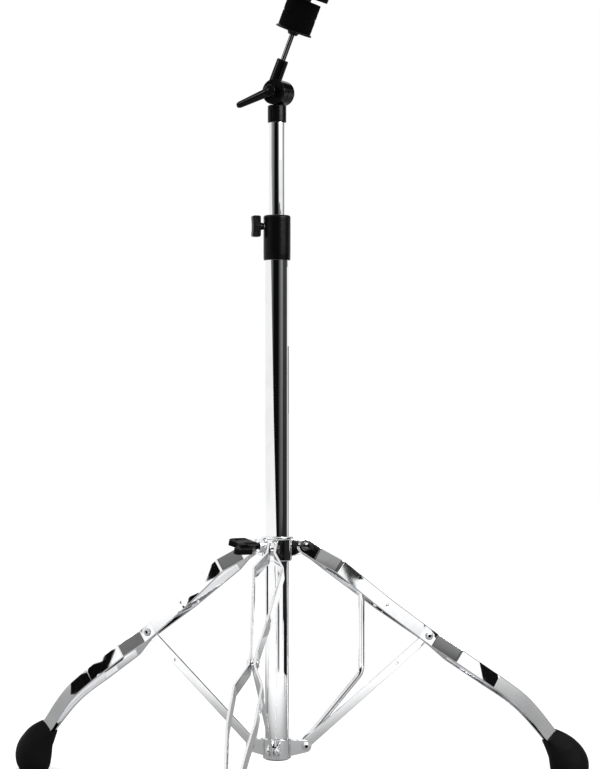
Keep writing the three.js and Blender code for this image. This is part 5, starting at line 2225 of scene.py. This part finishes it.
@dataclass
class CymbalSeat:
    """What sits on the tilter's rod: cup washer, sleeve, felts and wing nut."""

    frame: Matrix
    rod_radius: float = 3.0
    rod_low: float = 24.0
    rod_top: float = 154.0
    thread_start: float = 108.0
    thread_pitch: float = 1.25
    thread_depth: float = 0.45
    cup: float = 76.0
    cup_thickness: float = 1.6
    cup_radius: float = 22.3
    cup_lip: float = 1.4
    cup_hub: float = 5.2
    hub_drop: float = 5.5
    hub_top: float = 8.6
    felt_radius: float = 20.4
    felt_bottom: float = 77.9
    felt_top: float = 114.0
    sleeve_radius: float = 7.4
    sleeve_top: float = 125.5
    top_felt: tuple[float, float, float] = (26.4, 119.0, 130.5)
    nut_bottom: float = 130.9
    nut_height: float = 17.0
    nut_radius: float = 7.2
    nut_neck: float = 5.2
    wing_span: float = 21.0
    wing_thickness: float = 4.6
    wing_rise: float = 8.0
    wing_root: float = 3.4
    wing_turn: float = 35.0
    thread_facets: int = 32
    thread_steps: int = 8
    # The felts' mesh size, the radius of their rims, and how uneven and how bulged their sides are
    felt_span: float = 1.2
    felt_rim: float = 1.6
    felt_noise_scale: float = 0.35
    felt_noise: float = 0.16
    felt_bulge: float = 0.12

    def build(self, bench: Bench) -> None:
        """Builds and sets everything on the rod.

        Args:
            bench: The bench that sets it.
        """
        lay = LAYOUT
        bench.fit(self._rod(), "cymbal_rod", self.frame, look=Looks.DARK_STEEL)
        bore, top = self.rod_radius + lay.play, self.cup + self.cup_thickness
        washer = Form.turned([
            (bore, self.cup - self.hub_drop, 0.3), (self.cup_hub, self.cup - self.hub_drop, 0.6),
            (self.hub_top, self.cup, 2.0), (self.cup_radius, self.cup - self.cup_lip, 0.5),
            (self.cup_radius, top - self.cup_lip, 0.6), (self.felt_radius, top, 0.8), (bore, top, 0.3),
        ], steps=96)
        bench.fit(washer, "cup_washer", self.frame)
        inner, rims = self.rod_radius + lay.gap, (0.2, 0.4, 0.8, 0.4)
        sleeve = Form.tube(inner, self.sleeve_radius, top + lay.play, self.sleeve_top, rims, 64)
        bench.fit(sleeve, "cymbal_sleeve", self.frame)
        rise = (self.felt_top - self.felt_bottom) / 2
        for index in range(2):
            low = self.felt_bottom + index * rise
            self._felt(bench, f"lower_felt_{index + 1}", self.felt_radius, low, low + rise - lay.gap)
        self._felt(bench, "top_felt", *self.top_felt)
        bench.fit(self._nut(), "cymbal_wing_nut", self.frame)

    def _rod(self) -> Form:
        """The rod, its upper part cut with a screw thread.

        Returns:
            The rod.
        """
        count, per = self.thread_facets, self.thread_steps
        turns = int((self.rod_top - 1.0 - self.thread_start) / self.thread_pitch)
        loops = []

        def loop(radius: float, z: float, depth: float) -> list[Vector]:
            """A ring of points, sunk where the thread's groove passes.

            Args:
                radius: Its radius.
                z: Its height.
                depth: The groove's depth there.

            Returns:
                The points in order.
            """
            points = []
            for i in range(count):
                phase = (z - self.thread_start) / self.thread_pitch - i / count
                groove = 1 - abs(2 * (phase % 1.0) - 1)
                reach = radius - depth * groove
                angle = i / count * 2 * math.pi
                points.append(Vector((reach * math.cos(angle), reach * math.sin(angle), z)))
            return points

        loops.append(loop(self.rod_radius - 0.4, self.rod_low, 0.0))
        loops.append(loop(self.rod_radius, self.rod_low + 0.4, 0.0))
        for i in range(turns * per + 1):
            z = self.thread_start + i / per * self.thread_pitch
            depth = self.thread_depth * min(i / per / 2, 1.0)
            loops.append(loop(self.rod_radius, z, depth))
        loops.append(loop(self.rod_radius - self.thread_depth - 0.2, self.rod_top, 0.0))
        return Form.skinned(loops)

    def _felt(self, bench: Bench, node: str, radius: float, low: float, high: float) -> None:
        """Builds and sets a felt washer with soft, slightly uneven sides.

        Args:
            bench: The bench that sets it.
            node: The node that it replaces.
            radius: Its outer radius.
            low: Its underside.
            high: Its top.
        """
        bore = self.sleeve_radius + LAYOUT.gap
        side, across = int((high - low) / self.felt_span), int((radius - bore) / self.felt_span)
        shares = [i / across for i in range(across + 1)]
        profile = [(mix(bore, radius, share), low, self.felt_rim if share == 1 else 0.0) for share in shares]
        profile += [(radius, mix(low, high, i / side), 0.0) for i in range(2, side - 1)]
        profile += [(mix(radius, bore, share), high, 0.0 if share else self.felt_rim) for share in shares]
        felt = Form.turned(profile, steps=144)
        middle = (low + high) / 2
        for vert in felt.shape.verts:
            flat = Vector((vert.co.x, vert.co.y, 0))
            spot = vert.co * self.felt_noise_scale
            push = noise.fractal(spot, 0.9, 2.0, 3) * self.felt_noise - self.felt_bulge
            bulge = self.felt_bulge * (1 - ((vert.co.z - middle) / (high - low) * 2) ** 2)
            if flat.length > bore + 1:
                share = (flat.length - bore) / (radius - bore)
                vert.co += flat.normalized() * (push + bulge) * share
                vert.co.z -= math.copysign(1, vert.co.z - middle) * abs(push) * 0.5
        piece = bench.fit(felt, node, self.frame, 80.0)

    def _nut(self) -> Form:
        """The wing nut: a turned boss with two raised wings.

        Returns:
            The nut.
        """
        top = self.nut_bottom + self.nut_height
        body = Form.turned([
            (0.0, self.nut_bottom, 0.0), (self.nut_radius, self.nut_bottom, 0.7), (self.nut_neck, top, 0.7),
            (0.0, top, 0.0),
        ], steps=56)
        low = self.nut_bottom + self.wing_root
        wings = []
        for side in (1, -1):
            span, peak = side * self.wing_span, top + self.wing_rise
            outline = [
                (0.0, low), *bow((0.0, low), (span * 0.7, low), (span, top), 12),
                *bow((span, top), (span, peak), (span * 0.62, top + self.wing_rise * 0.7), 12),
                *bow(
                    (span * 0.62, top + self.wing_rise * 0.7), (side * self.nut_radius, top),
                    (0.0, top - self.wing_root / 2), 10,
                ),
            ]
            wings.append(Form.plate(outline, self.wing_thickness, 1.3))
        bore = Form.rod(self.rod_radius + LAYOUT.gap, self.nut_bottom - 2, top + self.wing_rise + 2)
        return body.joined(*wings).carved(bore).moved(turn_z(self.wing_turn))


def main() -> None:
    """Builds the studio and every sub-assembly in order."""
    logging.basicConfig(level=logging.INFO, format="%(message)s")
    Studio().set_up()
    bench = Bench(frame)
    LowerTube().build(bench)
    LegHub().build(bench)
    for index, name in enumerate(("right", "left", "front")):
        Leg(name, index).build(bench)
    HeightClamp().build(bench)
    UpperTube().build(bench)
    tilter = Tilter()
    tilter.build(bench)
    CymbalSeat(tilter.arm @ shift(*tilter.stem, 0)).build(bench)


if __name__ == "__main__":
    main()
